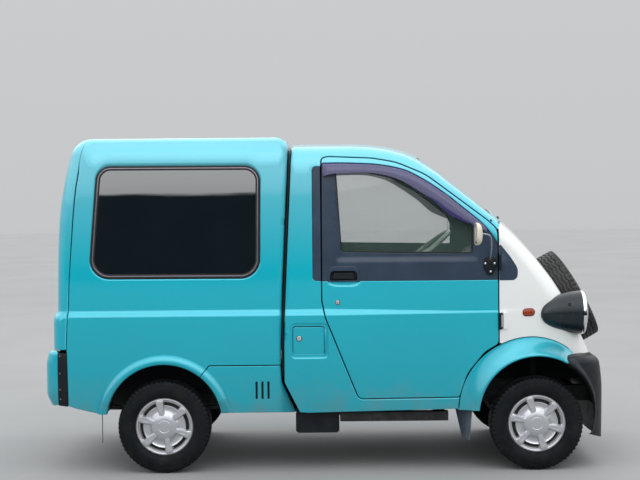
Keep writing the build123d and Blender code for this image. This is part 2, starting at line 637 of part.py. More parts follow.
with BuildPart() as leaf_spring:
    # stacked leaves as one bent bar: outline x, z
    with BuildSketch(Plane.XZ.offset(-378)):
        with BuildLine():
            Polyline((-1190, 317), (-1190, 303), (-1010, 283), (-930, 273), (-728, 273), (-648, 283), (-432, 303), (-432, 317),
                     (-620, 303), (-728, 293), (-930, 293), (-1030, 303), close=True)
        make_face()
    extrude(amount=-44)
save(None, "leaf_springs", both_sides(leaf_spring.part))

with BuildPart() as shock:
    add(bar((REAR_AXLE_X + 62, 350, 262), (REAR_AXLE_X + 170, 350, 520), 20))
    add(box(REAR_AXLE_X + 150, REAR_AXLE_X + 200, 320, 372, 500, 554))
save(shock, "rear_shocks", both_sides(shock.part))

# ---------------------------------------------------------------- front suspension, knuckles
with BuildPart() as arm:
    with BuildSketch(Plane.XY.offset(112)):
        Polygon((930, 322), (1092, 322), (1035, 450), (987, 450), align=None)
        with Locations((FRONT_AXLE_X, KINGPIN_Y)):
            Circle(26)
    extrude(amount=24)
    add(box(930, 1092, 268, 322, 112, 136))
    add(box(930, 970, 268, 320, 112, 300))
    add(box(1052, 1092, 268, 320, 112, 300))
    add(rod(FRONT_AXLE_X, KINGPIN_Y, 140, "Z", 9, 20))
    add(box(975, 1047, 321, 333, 330, 596))
    add(box(975, 1047, 268, 333, 379, 420))
    add(box(975, 1047, 321, 480, 584, 596))
save(arm, "front_suspension", both_sides(arm.part))

with BuildPart() as knuckle:
    # strut tube on the steering axis, upright, spindle and brake disc
    add(rod(FRONT_AXLE_X, KINGPIN_Y, 430, "Z", 20, 290))
    add(rod(FRONT_AXLE_X, KINGPIN_Y, 270, "Z", 26, 200))
    add(box(983, 1039, 420, 470, 150, 300))
    add(rod(FRONT_AXLE_X, 500, AXLE_Z, "Y", 15, 130))
    add(rod(FRONT_AXLE_X, 486, AXLE_Z, "Y", 98, 24))
    add(rod(FRONT_AXLE_X, 470, AXLE_Z, "Y", 40, 30))
    add(rod(FRONT_AXLE_X, KINGPIN_Y, 150, "Z", 10, 22), mode=Mode.SUBTRACT)
save(None, "left_knuckle", knuckle.part)
save(None, "right_knuckle", knuckle.part.mirror(Plane.XZ))

# ---------------------------------------------------------------- wheels: name, axle x, side (+1 left, -1 right)
for name, ax, side in (("front_right", FRONT_AXLE_X, -1), ("front_left", FRONT_AXLE_X, 1),
                       ("rear_right", REAR_AXLE_X, -1), ("rear_left", REAR_AXLE_X, 1)):
    pl = Plane(origin=(ax, side * WHEEL_Y, AXLE_Z), x_dir=(1, 0, 0), z_dir=(0, side, 0))
    save(None, name + "_tyre", tyre(pl, TYRE_R, TYRE_W, RIM_R))
    save(None, name + "_wheel", wheel(pl, 15.5, 28))

# ---------------------------------------------------------------- cabin
with BuildPart() as seat_base:
    add(box(-120, 430, -520, 520, 561, 612))
    add(box(-120, 430, -520, -480, 397, 561))
    add(box(-120, 430, 480, 520, 397, 561))
save(seat_base, "seat_base")
with BuildPart() as cushion:
    add(box(-40, 425, 60, 500, 614, 726))
    fillet(edges(), 30)
save(cushion, "seat_cushions", both_sides(cushion.part))
with BuildPart() as seat_back:
    with BuildSketch(Plane.XZ.offset(-500)):
        outline([(-160, 1036, 34), (-66, 1040, 34), (40, 732, 20), (-58, 732, 20)])
    extrude(amount=440)
save(None, "seat_backs", both_sides(seat_back.part))

with BuildPart() as dashboard:
    with BuildSketch(Plane.XZ.offset(-548)):
        outline([(955, 1080, 0), (955, 820, 0), (760, 820, 40), (720, 960, 40), (760, 1072, 50)])
    extrude(amount=1096)
    add(CAB_IN, mode=Mode.INTERSECT)
save(dashboard, "dashboard")

STEER_C = (465.0, -290.0, 1060.0)
STEER_AXIS = (-0.616, 0.0, 0.788)      # towards the driver
steer_plane = Plane(origin=STEER_C, x_dir=(0, 1, 0), z_dir=STEER_AXIS)
with BuildPart() as steering_wheel:
    with BuildSketch(Plane(origin=STEER_C, x_dir=(0, 1, 0), z_dir=steer_plane.y_dir)):
        with Locations((178, 0)):
            Circle(13)
    revolve(axis=Axis(STEER_C, STEER_AXIS))
    with BuildSketch(steer_plane.offset(-34)):
        Circle(48)
    extrude(amount=26)
    with BuildSketch(steer_plane.offset(-22)):
        with PolarLocations(0, 3, start_angle=90):
            with Locations((104, 0)):
                Rectangle(150, 30)
    extrude(amount=14)
save(steering_wheel, "steering_wheel")
c0 = Vector(*STEER_C) - Vector(*STEER_AXIS) * 42
c1 = Vector(*STEER_C) - Vector(*STEER_AXIS) * 600
with BuildPart() as column:
    add(bar(tuple(c0), tuple(c1), 24))
    add(dashboard.part, mode=Mode.SUBTRACT)
    add(box(955, 1200, -400, 0, 300, 900), mode=Mode.SUBTRACT)
save(None, "steering_column", Part() + column.part.solids().sort_by(SortBy.VOLUME)[-1])

# ---------------------------------------------------------------- small outside pieces
with BuildPart() as fuel_lid:
    add(slab([(-189, 716, 14), (-35, 716, 14), (-35, 583, 14), (-189, 583, 14)], -HALF_LOW, -HALF_LOW + 7))
save(fuel_lid, "fuel_lid")

# pins of the doors, the tailgate and the fuel lid
hinge_pins = rod(*LID_HINGE, 650, "Z", 3, 90)
for z, length in DOOR_PINS:
    hinge_pins += both_sides(rod(*DOOR_HINGE, z, "Z", 7, length))
hinge_pins += both_sides(rod(TAILGATE_HINGE[0], 300, TAILGATE_HINGE[1], "Y", 4, 90))
save(None, "hinge_pins", Part() + hinge_pins.solids())

with BuildPart() as mirror_head:
    with Locations((745, -735, 1173)):
        Box(34, 150, 108)
    fillet(edges().filter_by(Axis.X), 24)
with BuildPart() as mirror_right:
    add(rod(781, -610, 1019, "Y", 40, 30))
    add(bar((781, -622, 1050), (781, -660, 1150), 6))
    add(bar((781, -660, 1150), (748, -700, 1170), 6))
    add(mirror_head)
    add(RIGHT_DOOR, mode=Mode.SUBTRACT)
mr = mirror_right.part.solids().sort_by(SortBy.VOLUME)[-1]
save(None, "right_mirror", Part() + mr)
save(None, "left_mirror", (Part() + mr).mirror(Plane.XZ))

with BuildPart() as wipers:
    for y0, y1 in ((-330, -20), (20, 330)):
        a = (870, y0, 1253)
        b = (905, y1, 1230)
        add(bar(a, b, 6))
save(wipers, "wipers")
save(None, "spare_carrier", spare_carrier_part)
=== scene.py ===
import math
import bpy
import numpy as np
from mathutils import Vector, Matrix
from mathutils.geometry import delaunay_2d_cdt


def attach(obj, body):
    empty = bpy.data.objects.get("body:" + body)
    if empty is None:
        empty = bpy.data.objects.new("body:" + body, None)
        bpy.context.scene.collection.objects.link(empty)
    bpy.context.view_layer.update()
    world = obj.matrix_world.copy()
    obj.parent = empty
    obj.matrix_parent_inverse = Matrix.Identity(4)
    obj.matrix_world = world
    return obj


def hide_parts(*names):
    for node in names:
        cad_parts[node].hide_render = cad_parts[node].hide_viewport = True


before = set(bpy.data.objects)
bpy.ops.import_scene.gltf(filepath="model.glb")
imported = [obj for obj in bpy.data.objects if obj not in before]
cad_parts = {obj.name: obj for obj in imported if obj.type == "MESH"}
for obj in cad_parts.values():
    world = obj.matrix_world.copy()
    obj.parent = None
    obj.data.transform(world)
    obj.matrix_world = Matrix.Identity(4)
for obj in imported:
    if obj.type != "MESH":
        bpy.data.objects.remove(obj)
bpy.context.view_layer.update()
MM = 0.001

# ------------------------------------------------------------------ camera, first of all
cam_data = bpy.data.cameras.new("camera")
cam_data.lens = 80.04
cam_data.sensor_width = 36.0
cam_data.clip_end = 100.0
cam = bpy.data.objects.new("camera", cam_data)
bpy.context.scene.collection.objects.link(cam)
cam.matrix_world = (Matrix.Translation((-0.05196, -7.5921, 1.39183)) @ Matrix.Rotation(math.radians(90 - 2.01836), 4, "X")
                    @ Matrix.Rotation(math.radians(-0.53368), 4, "Z"))
bpy.context.scene.camera = cam
bpy.context.scene.view_settings.view_transform = "Standard"


# ------------------------------------------------------------------ materials
def srgb(r, g, b):
    """0-255 screen colour as linear."""
    out = []
    for v in (r, g, b):
        v /= 255.0
        out.append(v / 12.92 if v <= 0.04045 else ((v + 0.055) / 1.055) ** 2.4)
    return tuple(out)


def new_mat(name):
    m = bpy.data.materials.new(name)
    m.use_nodes = True
    nt = m.node_tree
    b = nt.nodes["Principled BSDF"]
    return m, nt, b


def coords(nt, scale=1.0):
    """Object-space position, which is the row frame in metres, times a scale."""
    tc = nt.nodes.new("ShaderNodeTexCoord")
    mp = nt.nodes.new("ShaderNodeMapping")
    s = scale if hasattr(scale, "__len__") else (scale,) * 3
    mp.inputs["Scale"].default_value = s
    nt.links.new(tc.outputs["Object"], mp.inputs["Vector"])
    return mp.outputs["Vector"]


def noise(nt, vec, scale, detail=4.0, rough=0.55):
    n = nt.nodes.new("ShaderNodeTexNoise")
    n.inputs["Scale"].default_value = scale
    n.inputs["Detail"].default_value = detail
    n.inputs["Roughness"].default_value = rough
    nt.links.new(vec, n.inputs["Vector"])
    return n.outputs["Fac"]


def ramp(nt, fac, stops):
    r = nt.nodes.new("ShaderNodeValToRGB")
    e = r.color_ramp.elements
    while len(e) < len(stops):
        e.new(0.5)
    for el, (p, c) in zip(e, stops):
        el.position = p
        el.color = c if len(c) == 4 else (*c, 1.0)
    nt.links.new(fac, r.inputs["Fac"])
    return r.outputs["Color"]


def to_range(nt, fac, a0, a1, b0, b1):
    r = nt.nodes.new("ShaderNodeMapRange")
    for i, v in zip((1, 2, 3, 4), (a0, a1, b0, b1)):
        r.inputs[i].default_value = v
    nt.links.new(fac, r.inputs[0])
    return r.outputs[0]


def mix(nt, fac, a, b):
    m = nt.nodes.new("ShaderNodeMix")
    m.data_type = "RGBA"
    for sock, v in ((m.inputs[6], a), (m.inputs[7], b)):
        if hasattr(v, "is_output") or hasattr(v, "links"):
            nt.links.new(v, sock)
        else:
            sock.default_value = (*v, 1.0) if len(v) == 3 else v
    if hasattr(fac, "links"):
        nt.links.new(fac, m.inputs[0])
    else:
        m.inputs[0].default_value = fac
    return m.outputs[2]


def bump(nt, b, height, strength, distance=0.001, normal=None):
    n = nt.nodes.new("ShaderNodeBump")
    n.inputs["Strength"].default_value = strength
    n.inputs["Distance"].default_value = distance
    nt.links.new(height, n.inputs["Height"])
    if normal is not None:
        nt.links.new(normal, n.inputs["Normal"])
    nt.links.new(n.outputs["Normal"], b.inputs["Normal"])
    return n.outputs["Normal"]


def road_dust(nt, vec):
    """Mask: a little road dust low down on the body, broken up by noise. The z is in metres."""
    sep = nt.nodes.new("ShaderNodeSeparateXYZ")
    nt.links.new(vec, sep.inputs[0])
    low = to_range(nt, sep.outputs[2], 0.24, 0.50, 0.5, 0.0)
    n = noise(nt, vec, 9.0, 6.0, 0.65)
    m = nt.nodes.new("ShaderNodeMath")
    m.operation = "MULTIPLY"
    nt.links.new(low, m.inputs[0])
    nt.links.new(to_range(nt, n, 0.35, 0.7, 0.0, 1.0), m.inputs[1])
    return m.outputs[0]


def paint(name, col, col2, metallic, rough, flake=0.0, painted_top_light=0.32, low=0.66):
    m, nt, b = new_mat(name)
    v = coords(nt)
    big = noise(nt, v, 2.3, 3.0)
    c = mix(nt, to_range(nt, big, 0.3, 0.7, 0.0, 1.0), col, col2)
    if flake:
        fl = noise(nt, v, 2600.0, 2.0)
        hi = tuple(min(1.0, x * 1.5 + 0.02) for x in col)
        c = mix(nt, to_range(nt, fl, 0.56, 0.72, 0.0, flake), c, hi)
    sep = nt.nodes.new("ShaderNodeSeparateXYZ")
    nt.links.new(v, sep.inputs[0])
    # painted shade: the colour darkens towards the bottom of the body, from 0.95 m down to 0.30 m, mixing towards col
    # times low
    c = mix(nt, to_range(nt, sep.outputs[2], 0.95, 0.30, 0.0, 0.6), c, tuple(x * low for x in col))
    geo = nt.nodes.new("ShaderNodeNewGeometry")
    up = nt.nodes.new("ShaderNodeSeparateXYZ")
    nt.links.new(geo.outputs["Normal"], up.inputs[0])
    # painted light: the colour lightens towards the roof above 1 m and on upward-facing surfaces, as if lit from the
    # sky above
    pale = tuple(0.60 * x + 0.26 for x in col)
    c = mix(nt, to_range(nt, sep.outputs[2], 1.00, 1.50, 0.0, painted_top_light), c, tuple(0.55 * x + 0.34 for x in col))
    c = mix(nt, to_range(nt, up.outputs[2], 0.04, 0.30, 0.0, painted_top_light * 0.45), c, pale)
    dust = road_dust(nt, v)
    c = mix(nt, dust, c, srgb(126, 122, 112))
    nt.links.new(c, b.inputs["Base Color"])
    b.inputs["Metallic"].default_value = metallic
    fine = noise(nt, v, 60.0, 5.0)
    nt.links.new(to_range(nt, fine, 0.3, 0.75, rough - 0.03, rough + 0.06), b.inputs["Roughness"])
    b.inputs["Specular IOR Level"].default_value = 0.25
    b.inputs["Coat Weight"].default_value = 0.9
    b.inputs["Coat Roughness"].default_value = 0.06
    b.inputs["Coat IOR"].default_value = 1.5
    peel = noise(nt, v, 210.0, 2.0)
    bump(nt, b, peel, 0.03, 0.0006)
    return m


def plastic(name, col, rough=0.5, grain=900.0, strength=0.25, dusty=0.0, spec=0.5):
    m, nt, b = new_mat(name)
    v = coords(nt)
    big = noise(nt, v, 7.0, 5.0)
    light = tuple(min(1.0, x * 1.35 + 0.006) for x in col)
    c = mix(nt, to_range(nt, big, 0.35, 0.75, 0.0, 1.0), col, light)
    if dusty:
        d = noise(nt, v, 23.0, 7.0, 0.7)
        c = mix(nt, to_range(nt, d, 0.45, 0.8, 0.0, dusty), c, srgb(150, 146, 136))
    nt.links.new(c, b.inputs["Base Color"])
    nt.links.new(to_range(nt, noise(nt, v, 35.0, 4.0), 0.3, 0.7, rough - 0.06, rough + 0.08), b.inputs["Roughness"])
    b.inputs["Specular IOR Level"].default_value = spec
    vo = nt.nodes.new("ShaderNodeTexVoronoi")
    vo.inputs["Scale"].default_value = grain
    nt.links.new(v, vo.inputs["Vector"])
    bump(nt, b, vo.outputs["Distance"], strength, 0.0004)
    return m


def metal(name, col, rough=0.2, streak=None, wear=0.0, bump_s=0.05):
    m, nt, b = new_mat(name)
    v = coords(nt, streak or 1.0)
    n = noise(nt, v, 120.0, 5.0)
    w = coords(nt)
    c = mix(nt, to_range(nt, noise(nt, w, 14.0, 6.0), 0.5, 0.8, 0.0, wear), col, tuple(x * 0.45 for x in col))
    nt.links.new(c, b.inputs["Base Color"])
    b.inputs["Metallic"].default_value = 1.0
    nt.links.new(to_range(nt, n, 0.3, 0.7, max(0.02, rough - 0.05), rough + 0.07), b.inputs["Roughness"])
    bump(nt, b, n, bump_s, 0.0003)
    return m


def glass(name, col, alpha, rough=0.03, ior=2.3):
    m, nt, b = new_mat(name)
    v = coords(nt)
    c = mix(nt, to_range(nt, noise(nt, v, 5.0, 3.0), 0.3, 0.7, 0.0, 1.0), col, tuple(x * 1.3 + 0.002 for x in col))
    nt.links.new(c, b.inputs["Base Color"])
    b.inputs["IOR"].default_value = ior
    nt.links.new(to_range(nt, noise(nt, v, 18.0, 6.0, 0.7), 0.4, 0.8, rough, rough + 0.03), b.inputs["Roughness"])
    b.inputs["Alpha"].default_value = alpha
    wave = noise(nt, v, 3.2, 1.0)
    bump(nt, b, wave, 0.05, 0.01)
    return m


# both paints carry paint()'s painted shade low down and its painted light towards the roof and on upward faces
TEAL = paint("teal_metallic", srgb(0, 181, 201), srgb(0, 186, 205), 0.34, 0.42, 0.22)
WHITE = paint("white_enamel", srgb(237, 238, 235), srgb(233, 235, 232), 0.0, 0.30, 0.0, 0.1, 0.80)
NAVY = plastic("navy_band", srgb(34, 51, 70), 0.36, 1500.0, 0.05)
BLACK = plastic("black_grained_plastic", srgb(6, 13, 20), 0.46, 1000.0, 0.22, 0.03, 0.28)
POD = plastic("pod_black", srgb(9, 24, 31), 0.30, 1400.0, 0.04, 0.02, 0.42)
SEAL = plastic("rubber_seal", srgb(14, 15, 17), 0.6, 700.0, 0.15)
TRIM = plastic("inner_trim", srgb(58, 66, 70), 0.6, 800.0, 0.3)
GAP = plastic("gap_shadow_paint", srgb(4, 10, 14), 0.8, 800.0, 0.1, 0.0, 0.2)
CHASSIS = plastic("chassis_paint", srgb(15, 16, 18), 0.55, 400.0, 0.4, 0.12, 0.35)
TYRE = plastic("tyre_rubber", srgb(3, 8, 13), 0.60, 500.0, 0.25, 0.03, 0.18)
SPARE_RUBBER = plastic("spare_rubber", srgb(24, 23, 23), 0.55, 500.0, 0.3, 0.12, 0.45)
FLAP = plastic("flap_rubber", srgb(70, 82, 96), 0.6, 600.0, 0.25, 0.25)
SILVER = metal("silver_cover_paint", srgb(202, 203, 207), 0.35, None, 0.06)
SILVER.node_tree.nodes["Principled BSDF"].inputs["Metallic"].default_value = 0.8
CHROME = metal("chrome", srgb(232, 234, 236), 0.07)
STEEL = metal("worn_steel", srgb(120, 118, 114), 0.45, (1, 1, 8), 0.6, 0.2)
CAST = metal("cast_metal", srgb(72, 72, 72), 0.6, None, 0.5, 0.5)
GREYTRIM = metal("grey_window_trim", srgb(140, 132, 138), 0.32)
GLASS = glass("window_glass", srgb(104, 132, 120), 0.13, 0.03, 2.3)
DARKGLASS = glass("privacy_glass", srgb(3, 5, 8), 1.0, 0.012, 2.9)
SMOKE = glass("smoke_visor", srgb(62, 60, 108), 0.64, 0.06, 1.8)
LENS = glass("lamp_lens", srgb(200, 205, 205), 0.35, 0.04, 2.0)
AMBER = glass("amber_lens", srgb(134, 46, 14), 1.0, 0.14, 1.5)
RED = glass("red_lens", srgb(150, 12, 14), 1.0, 0.10, 1.5)
BEIGE = plastic("beige_edge", srgb(196, 186, 168), 0.4, 900.0, 0.1)
STALK = metal("mirror_stalk_metal", srgb(150, 156, 166), 0.28)
PLATE = plastic("blank_plate", srgb(214, 214, 208), 0.45, 500.0, 0.06, 0.25)
WHEELGREY = plastic("grey_wheel_rim", srgb(150, 148, 144), 0.5, 900.0, 0.25)


# ------------------------------------------------------------------ meshes
def put(name, verts, faces, mats, body, face_mats=None, smooth=True, normals=None, replaces=(), slot=None, sharp=None):
    """A mesh object from vertices in millimetres that rides on a CAD body."""
    me = bpy.data.meshes.new(name)
    me.from_pydata((np.asarray(verts, float) * MM).tolist(), [], [list(f) for f in faces])
    for m in (mats if isinstance(mats, (list, tuple)) else [mats]):
        me.materials.append(m)
    if face_mats is not None:
        me.polygons.foreach_set("material_index", np.asarray(face_mats, np.int32))
    me.polygons.foreach_set("use_smooth", np.full(len(me.polygons), bool(smooth)))
    me.update()
    if sharp:
        me.set_sharp_from_angle(angle=math.radians(sharp))
    if normals is not None:
        n = np.asarray(normals, float)
        n /= np.maximum(np.linalg.norm(n, axis=1, keepdims=True), 1e-9)
        me.normals_split_custom_set_from_vertices(n.tolist())
    ob = bpy.data.objects.new(name, me)
    bpy.context.scene.collection.objects.link(ob)
    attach(ob, body)
    if replaces:
        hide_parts(*replaces)
    return ob


class Heap:
    """Collects many small shapes into one mesh."""

    def __init__(self):
        self.v, self.f, self.m = [], [], []
        self.n = 0

    def add(self, verts, faces, mat=0):
        verts = np.asarray(verts, float)
        self.v.append(verts)
        self.f += [[i + self.n for i in f] for f in faces]
        self.m += [mat] * len(faces)
        self.n += len(verts)
        return self

    def mirrored(self):
        """Adds the mirror image in the middle plane of everything so far."""
        v = np.vstack(self.v)
        w = v * np.array([1, -1, 1])
        faces = list(self.f)
        n0 = self.n
        self.v.append(w)
        self.f += [[i + n0 for i in reversed(f)] for f in faces]
        self.m += list(self.m)
        self.n += len(w)
        return self

    def put(self, name, mats, body, **k):
        return put(name, np.vstack(self.v), self.f, mats, body, face_mats=self.m, **k)


def frame_of(axis, hint=(0, 0, 1)):
    a = np.asarray(axis, float)
    a = a / np.linalg.norm(a)
    h = np.asarray(hint, float)
    if abs(a @ h) > 0.95:
        h = np.array((1.0, 0, 0))
    e1 = np.cross(h, a)
    e1 /= np.linalg.norm(e1)
    e2 = np.cross(a, e1)
    return e1, e2, a


def lathe(origin, axis, rows, n=48, closed=False, hint=(0, 0, 1)):
    """Rows of (distance along the axis, radius) turned about it."""
    e1, e2, a = frame_of(axis, hint)
    o = np.asarray(origin, float)
    verts, faces = [], []
    ang = np.linspace(0, 2 * math.pi, n, endpoint=False)
    circ = np.cos(ang)[:, None] * e1 + np.sin(ang)[:, None] * e2
    idx = []
    for h, r in rows:
        if r < 1e-6:
            idx.append([len(verts)])
            verts.append(o + a * h)
        else:
            idx.append(list(range(len(verts), len(verts) + n)))
            verts.extend(o + a * h + circ * r)
    pairs = list(zip(idx[:-1], idx[1:]))
    if closed:
        pairs.append((idx[-1], idx[0]))
    for p, q in pairs:
        for i in range(n):
            j = (i + 1) % n
            if len(p) == 1 and len(q) == 1:
                continue
            if len(p) == 1:
                faces.append([p[0], q[j], q[i]])
            elif len(q) == 1:
                faces.append([p[i], p[j], q[0]])
            else:
                faces.append([p[i], p[j], q[j], q[i]])
    return np.array(verts), faces


def tube(path, radius, n=12, caps=True):
    """A round tube along points; radius may be a number or one per point."""
    P = np.asarray(path, float)
    R = np.full(len(P), float(radius)) if not hasattr(radius, "__len__") else np.asarray(radius, float)
    T = np.gradient(P, axis=0)
    T /= np.linalg.norm(T, axis=1, keepdims=True)
    e1, e2, _ = frame_of(T[0])
    verts, faces = [], []
    ang = np.linspace(0, 2 * math.pi, n, endpoint=False)
    for i, (p, t) in enumerate(zip(P, T)):
        e1 = e1 - t * (e1 @ t)
        e1 /= np.linalg.norm(e1)
        e2 = np.cross(t, e1)
        verts.extend(p + R[i] * (np.cos(ang)[:, None] * e1 + np.sin(ang)[:, None] * e2))
    for i in range(len(P) - 1):
        for k in range(n):
            a, b = i * n + k, i * n + (k + 1) % n
            faces.append([a, b, b + n, a + n])
    if caps:
        faces.append(list(range(n - 1, -1, -1)))
        faces.append(list(range((len(P) - 1) * n, len(P) * n)))
    return np.array(verts), faces


def smooth_path(points, step=8.0, closed=False):
    """Catmull-Rom curve through points, sampled at about one step."""
    P = np.asarray(points, float)
    if closed:
        Q = np.vstack([P[-1], P, P[0], P[1]])
    else:
        Q = np.vstack([2 * P[0] - P[1], P, 2 * P[-1] - P[-2]])
    out = []
    for i in range(1, len(Q) - 2):
        p0, p1, p2, p3 = Q[i - 1], Q[i], Q[i + 1], Q[i + 2]
        n = max(2, int(np.linalg.norm(p2 - p1) / step))
        for t in np.linspace(0, 1, n, endpoint=False):
            out.append(0.5 * (2 * p1 + (p2 - p0) * t + (2 * p0 - 5 * p1 + 4 * p2 - p3) * t * t + (3 * p1 - p0 - 3 * p2 + p3) * t ** 3))
    if not closed:
        out.append(P[-1])
    return np.array(out)


def round_box(x0, x1, y0, y1, z0, z1, r=4.0, seg=3):
    """A block with rounded edges."""
    c = np.array([(x0 + x1) / 2, (y0 + y1) / 2, (z0 + z1) / 2])
    h = np.array([x1 - x0, y1 - y0, z1 - z0]) / 2
    r = min(r, *(h * 0.98))
    k = 2 * seg + 2
    verts, index, faces = [], {}, []
    t = np.linspace(-1, 1, k)
    # each face of a cube grid with its edge bands squeezed onto the rounded corners
    a = np.concatenate([np.linspace(-math.pi / 4, 0, seg + 1), np.linspace(0, math.pi / 4, seg + 1)])

    def vert(face, i, j):
        u, v = a[i], a[j]
        cu = -1 if i <= seg else 1
        cv = -1 if j <= seg else 1
        d = np.array([math.tan(u), math.tan(v), 1.0])
        ax, sg = face
        order = [(1, 2, 0), (2, 0, 1), (0, 1, 2)][ax]
        loc = np.zeros(3)
        loc[order[0]], loc[order[1]], loc[order[2]] = d[0], d[1], sg * 1.0
        nrm = loc / np.linalg.norm(loc)
        corner = np.zeros(3)
        corner[order[0]], corner[order[1]], corner[order[2]] = cu, cv, sg
        # on the flat middle the corner is the inner box's corner
        p = c + corner * (h - r) + nrm_fix(loc, corner) * r
        return p

    def nrm_fix(loc, corner):
        # direction inside the octant of this corner
        w = np.abs(loc)
        w = w * corner
        s = np.array(loc)
        s = np.where(np.sign(s) == np.sign(corner), s, 0.0)
        n = np.linalg.norm(s)
        return s / n if n else corner / math.sqrt(3)

    for ax in range(3):
        for sg in (-1, 1):
            base = len(verts)
            for i in range(k):
                for j in range(k):
                    verts.append(vert((ax, sg), i, j))
            for i in range(k - 1):
                for j in range(k - 1):
                    q = [base + i * k + j, base + (i + 1) * k + j, base + (i + 1) * k + j + 1, base + i * k + j + 1]
                    faces.append(q if sg > 0 else q[::-1])
    return np.array(verts), faces


def turn(verts, origin, axis, deg):
    m = Matrix.Rotation(math.radians(deg), 3, Vector(axis))
    R = np.array(m)
    o = np.asarray(origin, float)
    return (np.asarray(verts) - o) @ R.T + o


# ------------------------------------------------------------------ body shape, millimetres
def curve(points, sigma=10.0, lo=None, hi=None):
    """A smooth height function through measured points, as (x grid, value, slope)."""
    P = np.array(points, float)
    lo = P[0, 0] if lo is None else lo
    hi = P[-1, 0] if hi is None else hi
    x = np.arange(lo - 60, hi + 60, 1.0)
    s0 = (P[1, 1] - P[0, 1]) / (P[1, 0] - P[0, 0])
    s1 = (P[-1, 1] - P[-2, 1]) / (P[-1, 0] - P[-2, 0])
    y = np.interp(x, P[:, 0], P[:, 1])
    y = np.where(x < P[0, 0], P[0, 1] + s0 * (x - P[0, 0]), y)
    y = np.where(x > P[-1, 0], P[-1, 1] + s1 * (x - P[-1, 0]), y)
    n = int(3 * sigma)
    k = np.exp(-0.5 * (np.arange(-n, n + 1) / sigma) ** 2)
    k /= k.sum()
    yp = np.concatenate([y[0] + s0 * np.arange(-n, 0), y, y[-1] + s1 * np.arange(1, n + 1)])
    ys = np.convolve(yp, k, "valid")
    return x, ys, np.gradient(ys, x)


def at(c, x):
    g, y, s = c
    x = np.asarray(x, float)
    v = np.interp(x, g, y)
    v = np.where(x > g[-1], y[-1] + s[-1] * (x - g[-1]), v)
    v = np.where(x < g[0], y[0] + s[0] * (x - g[0]), v)
    return v


def slope(c, x):
    return np.interp(x, c[0], c[2])


def ease(a, b, x):
    t = np.clip((np.asarray(x, float) - a) / (b - a), 0, 1)
    return t * t * (3 - 2 * t)


def rounded(a, b, r):
    """Two distance fields meeting in a round edge of radius r."""
    return np.minimum(np.maximum(a, b), -r) + np.hypot(np.maximum(a + r, 0), np.maximum(b + r, 0))


UPPER = curve([(780, 602), (1000, 598), (1198, 589), (1400, 574), (1594, 548), (1700, 531)], 40, 700, 1800)
LOWER = curve([(200, 612), (330, 618.5), (560, 621), (900, 621)], 30, 100, 1000)
TAPER = curve([(200, 0), (500, 1), (700, 5), (860, 16), (960, 48), (1100, 102), (1250, 163), (1340, 203), (1420, 243)], 26, 100, 1500)
ROOF = curve([(-400, 1631), (120, 1631), (215, 1626), (305, 1614), (400, 1589), (470, 1557), (560, 1500), (700, 1389), (892, 1226),
              (960, 1162), (1030, 1082), (1090, 1010), (1145, 936), (1207, 838), (1250, 746), (1345, 530), (1400, 400)], 13, -500, 1500)
REAR = curve([(200, -1386), (740, -1386), (776, -1384), (800, -1366), (839, -1366), (1100, -1362), (1252, -1355), (1343, -1345), (1402, -1335),
              (1469, -1323), (1528, -1310), (1600, -1291), (1700, -1262)], 7, 100, 1800)


def side_y(x, z, cab):
    """Half width of the body at x, z. The shoulder step fades out along the door."""
    up, low = at(UPPER, z), at(LOWER, z)
    step = 1 - ease(-60, 760, x) if cab else np.ones_like(np.asarray(x, float))
    up = low - (low - up) * (0.28 + 0.72 * step) if cab else up
    z0 = 776 + 6 * (1 - step)
    z1 = 804 - 14 * (1 - step)
    t = np.clip((z - z0) / (z1 - z0), 0, 1)
    t = t + 0.04 * np.sin(2 * math.pi * t) * -1
    half = low + (up - low) * t
    if cab:
        half = half - at(TAPER, x)
    return half


def side_smooth(x, z, cab):
    return (side_y(x, z - 3.5, cab) + 2 * side_y(x, z, cab) + side_y(x, z + 3.5, cab)) / 4


def f_cab(P):
    x, y, z = P[:, 0], np.abs(P[:, 1]), P[:, 2]
    tap = slope(TAPER, x)
    side = (y - side_smooth(x, z, True)) / np.sqrt(1 + tap ** 2)
    xb = np.sqrt((x + 2000) ** 2 + y ** 2) - 2000
    bow = np.where(x > 100, xb, x)
    k = ease(0, 700, x)
    xr = x * (1 - k) + xb * k
    drop = 36 * (y / 548) ** 2 * (1 - 0.75 * ease(250, 800, x))
    s = slope(ROOF, xr)
    top = (z + drop - at(ROOF, xr)) / np.sqrt(1 + s ** 2)
    r = 92 - 34 * ease(150, 600, x) + 30 * ease(900, 1150, x)
    f = rounded(side, top, r)
    back = (-235 + 45 * np.clip((z - 700) / 940, 0, 2)) - x
    return rounded(f, back, 12.0)


def f_box(P):
    x, y, z = P[:, 0], np.abs(P[:, 1]), P[:, 2]
    side = y - side_smooth(x, z, False)
    bow = 10 * (y / 600) ** 2
    rear = (at(REAR, z) + bow - x) / np.sqrt(1 + slope(REAR, z) ** 2)
    f = rounded(side, rear, 82.0)
    front = x - (-246 + 45 * np.clip((z - 700) / 940, 0, 2))
    f = rounded(f, front, 30.0)
    top = z + 18 * (y / 553) ** 2 - 1668
    return rounded(f, top, 76.0)


def f_bumper(P):
    x, y, z = P[:, 0], np.abs(P[:, 1]), P[:, 2]
    side = y - (641 - 6 * ease(300, 100, z))
    xf = 1374 - 0.045 * np.maximum(355 - z, 0) * 0.2 - 8 * (y / 600) ** 2 - 17 * np.clip((z - 400) / 150, 0, 1.3) ** 1.5
    front = x - xf
    f = rounded(side, front, 190.0)
    top = (z - (570 - 0.10 * np.maximum(x - 1250, 0)))
    return rounded(f, top, 46.0)


def f_rear_bumper(P):
    x, y, z = P[:, 0], np.abs(P[:, 1]), P[:, 2]
    side = y - (624 - 30 * ease(420, 330, z) * 0.3)
    back = (-1421 + 9 * (y / 620) ** 2 + 26 * ease(400, 320, z) + 14 * ease(540, 615, z)) - x
    f = rounded(side, back, 74.0)
    top = z - 611
    return rounded(f, top, 20.0)


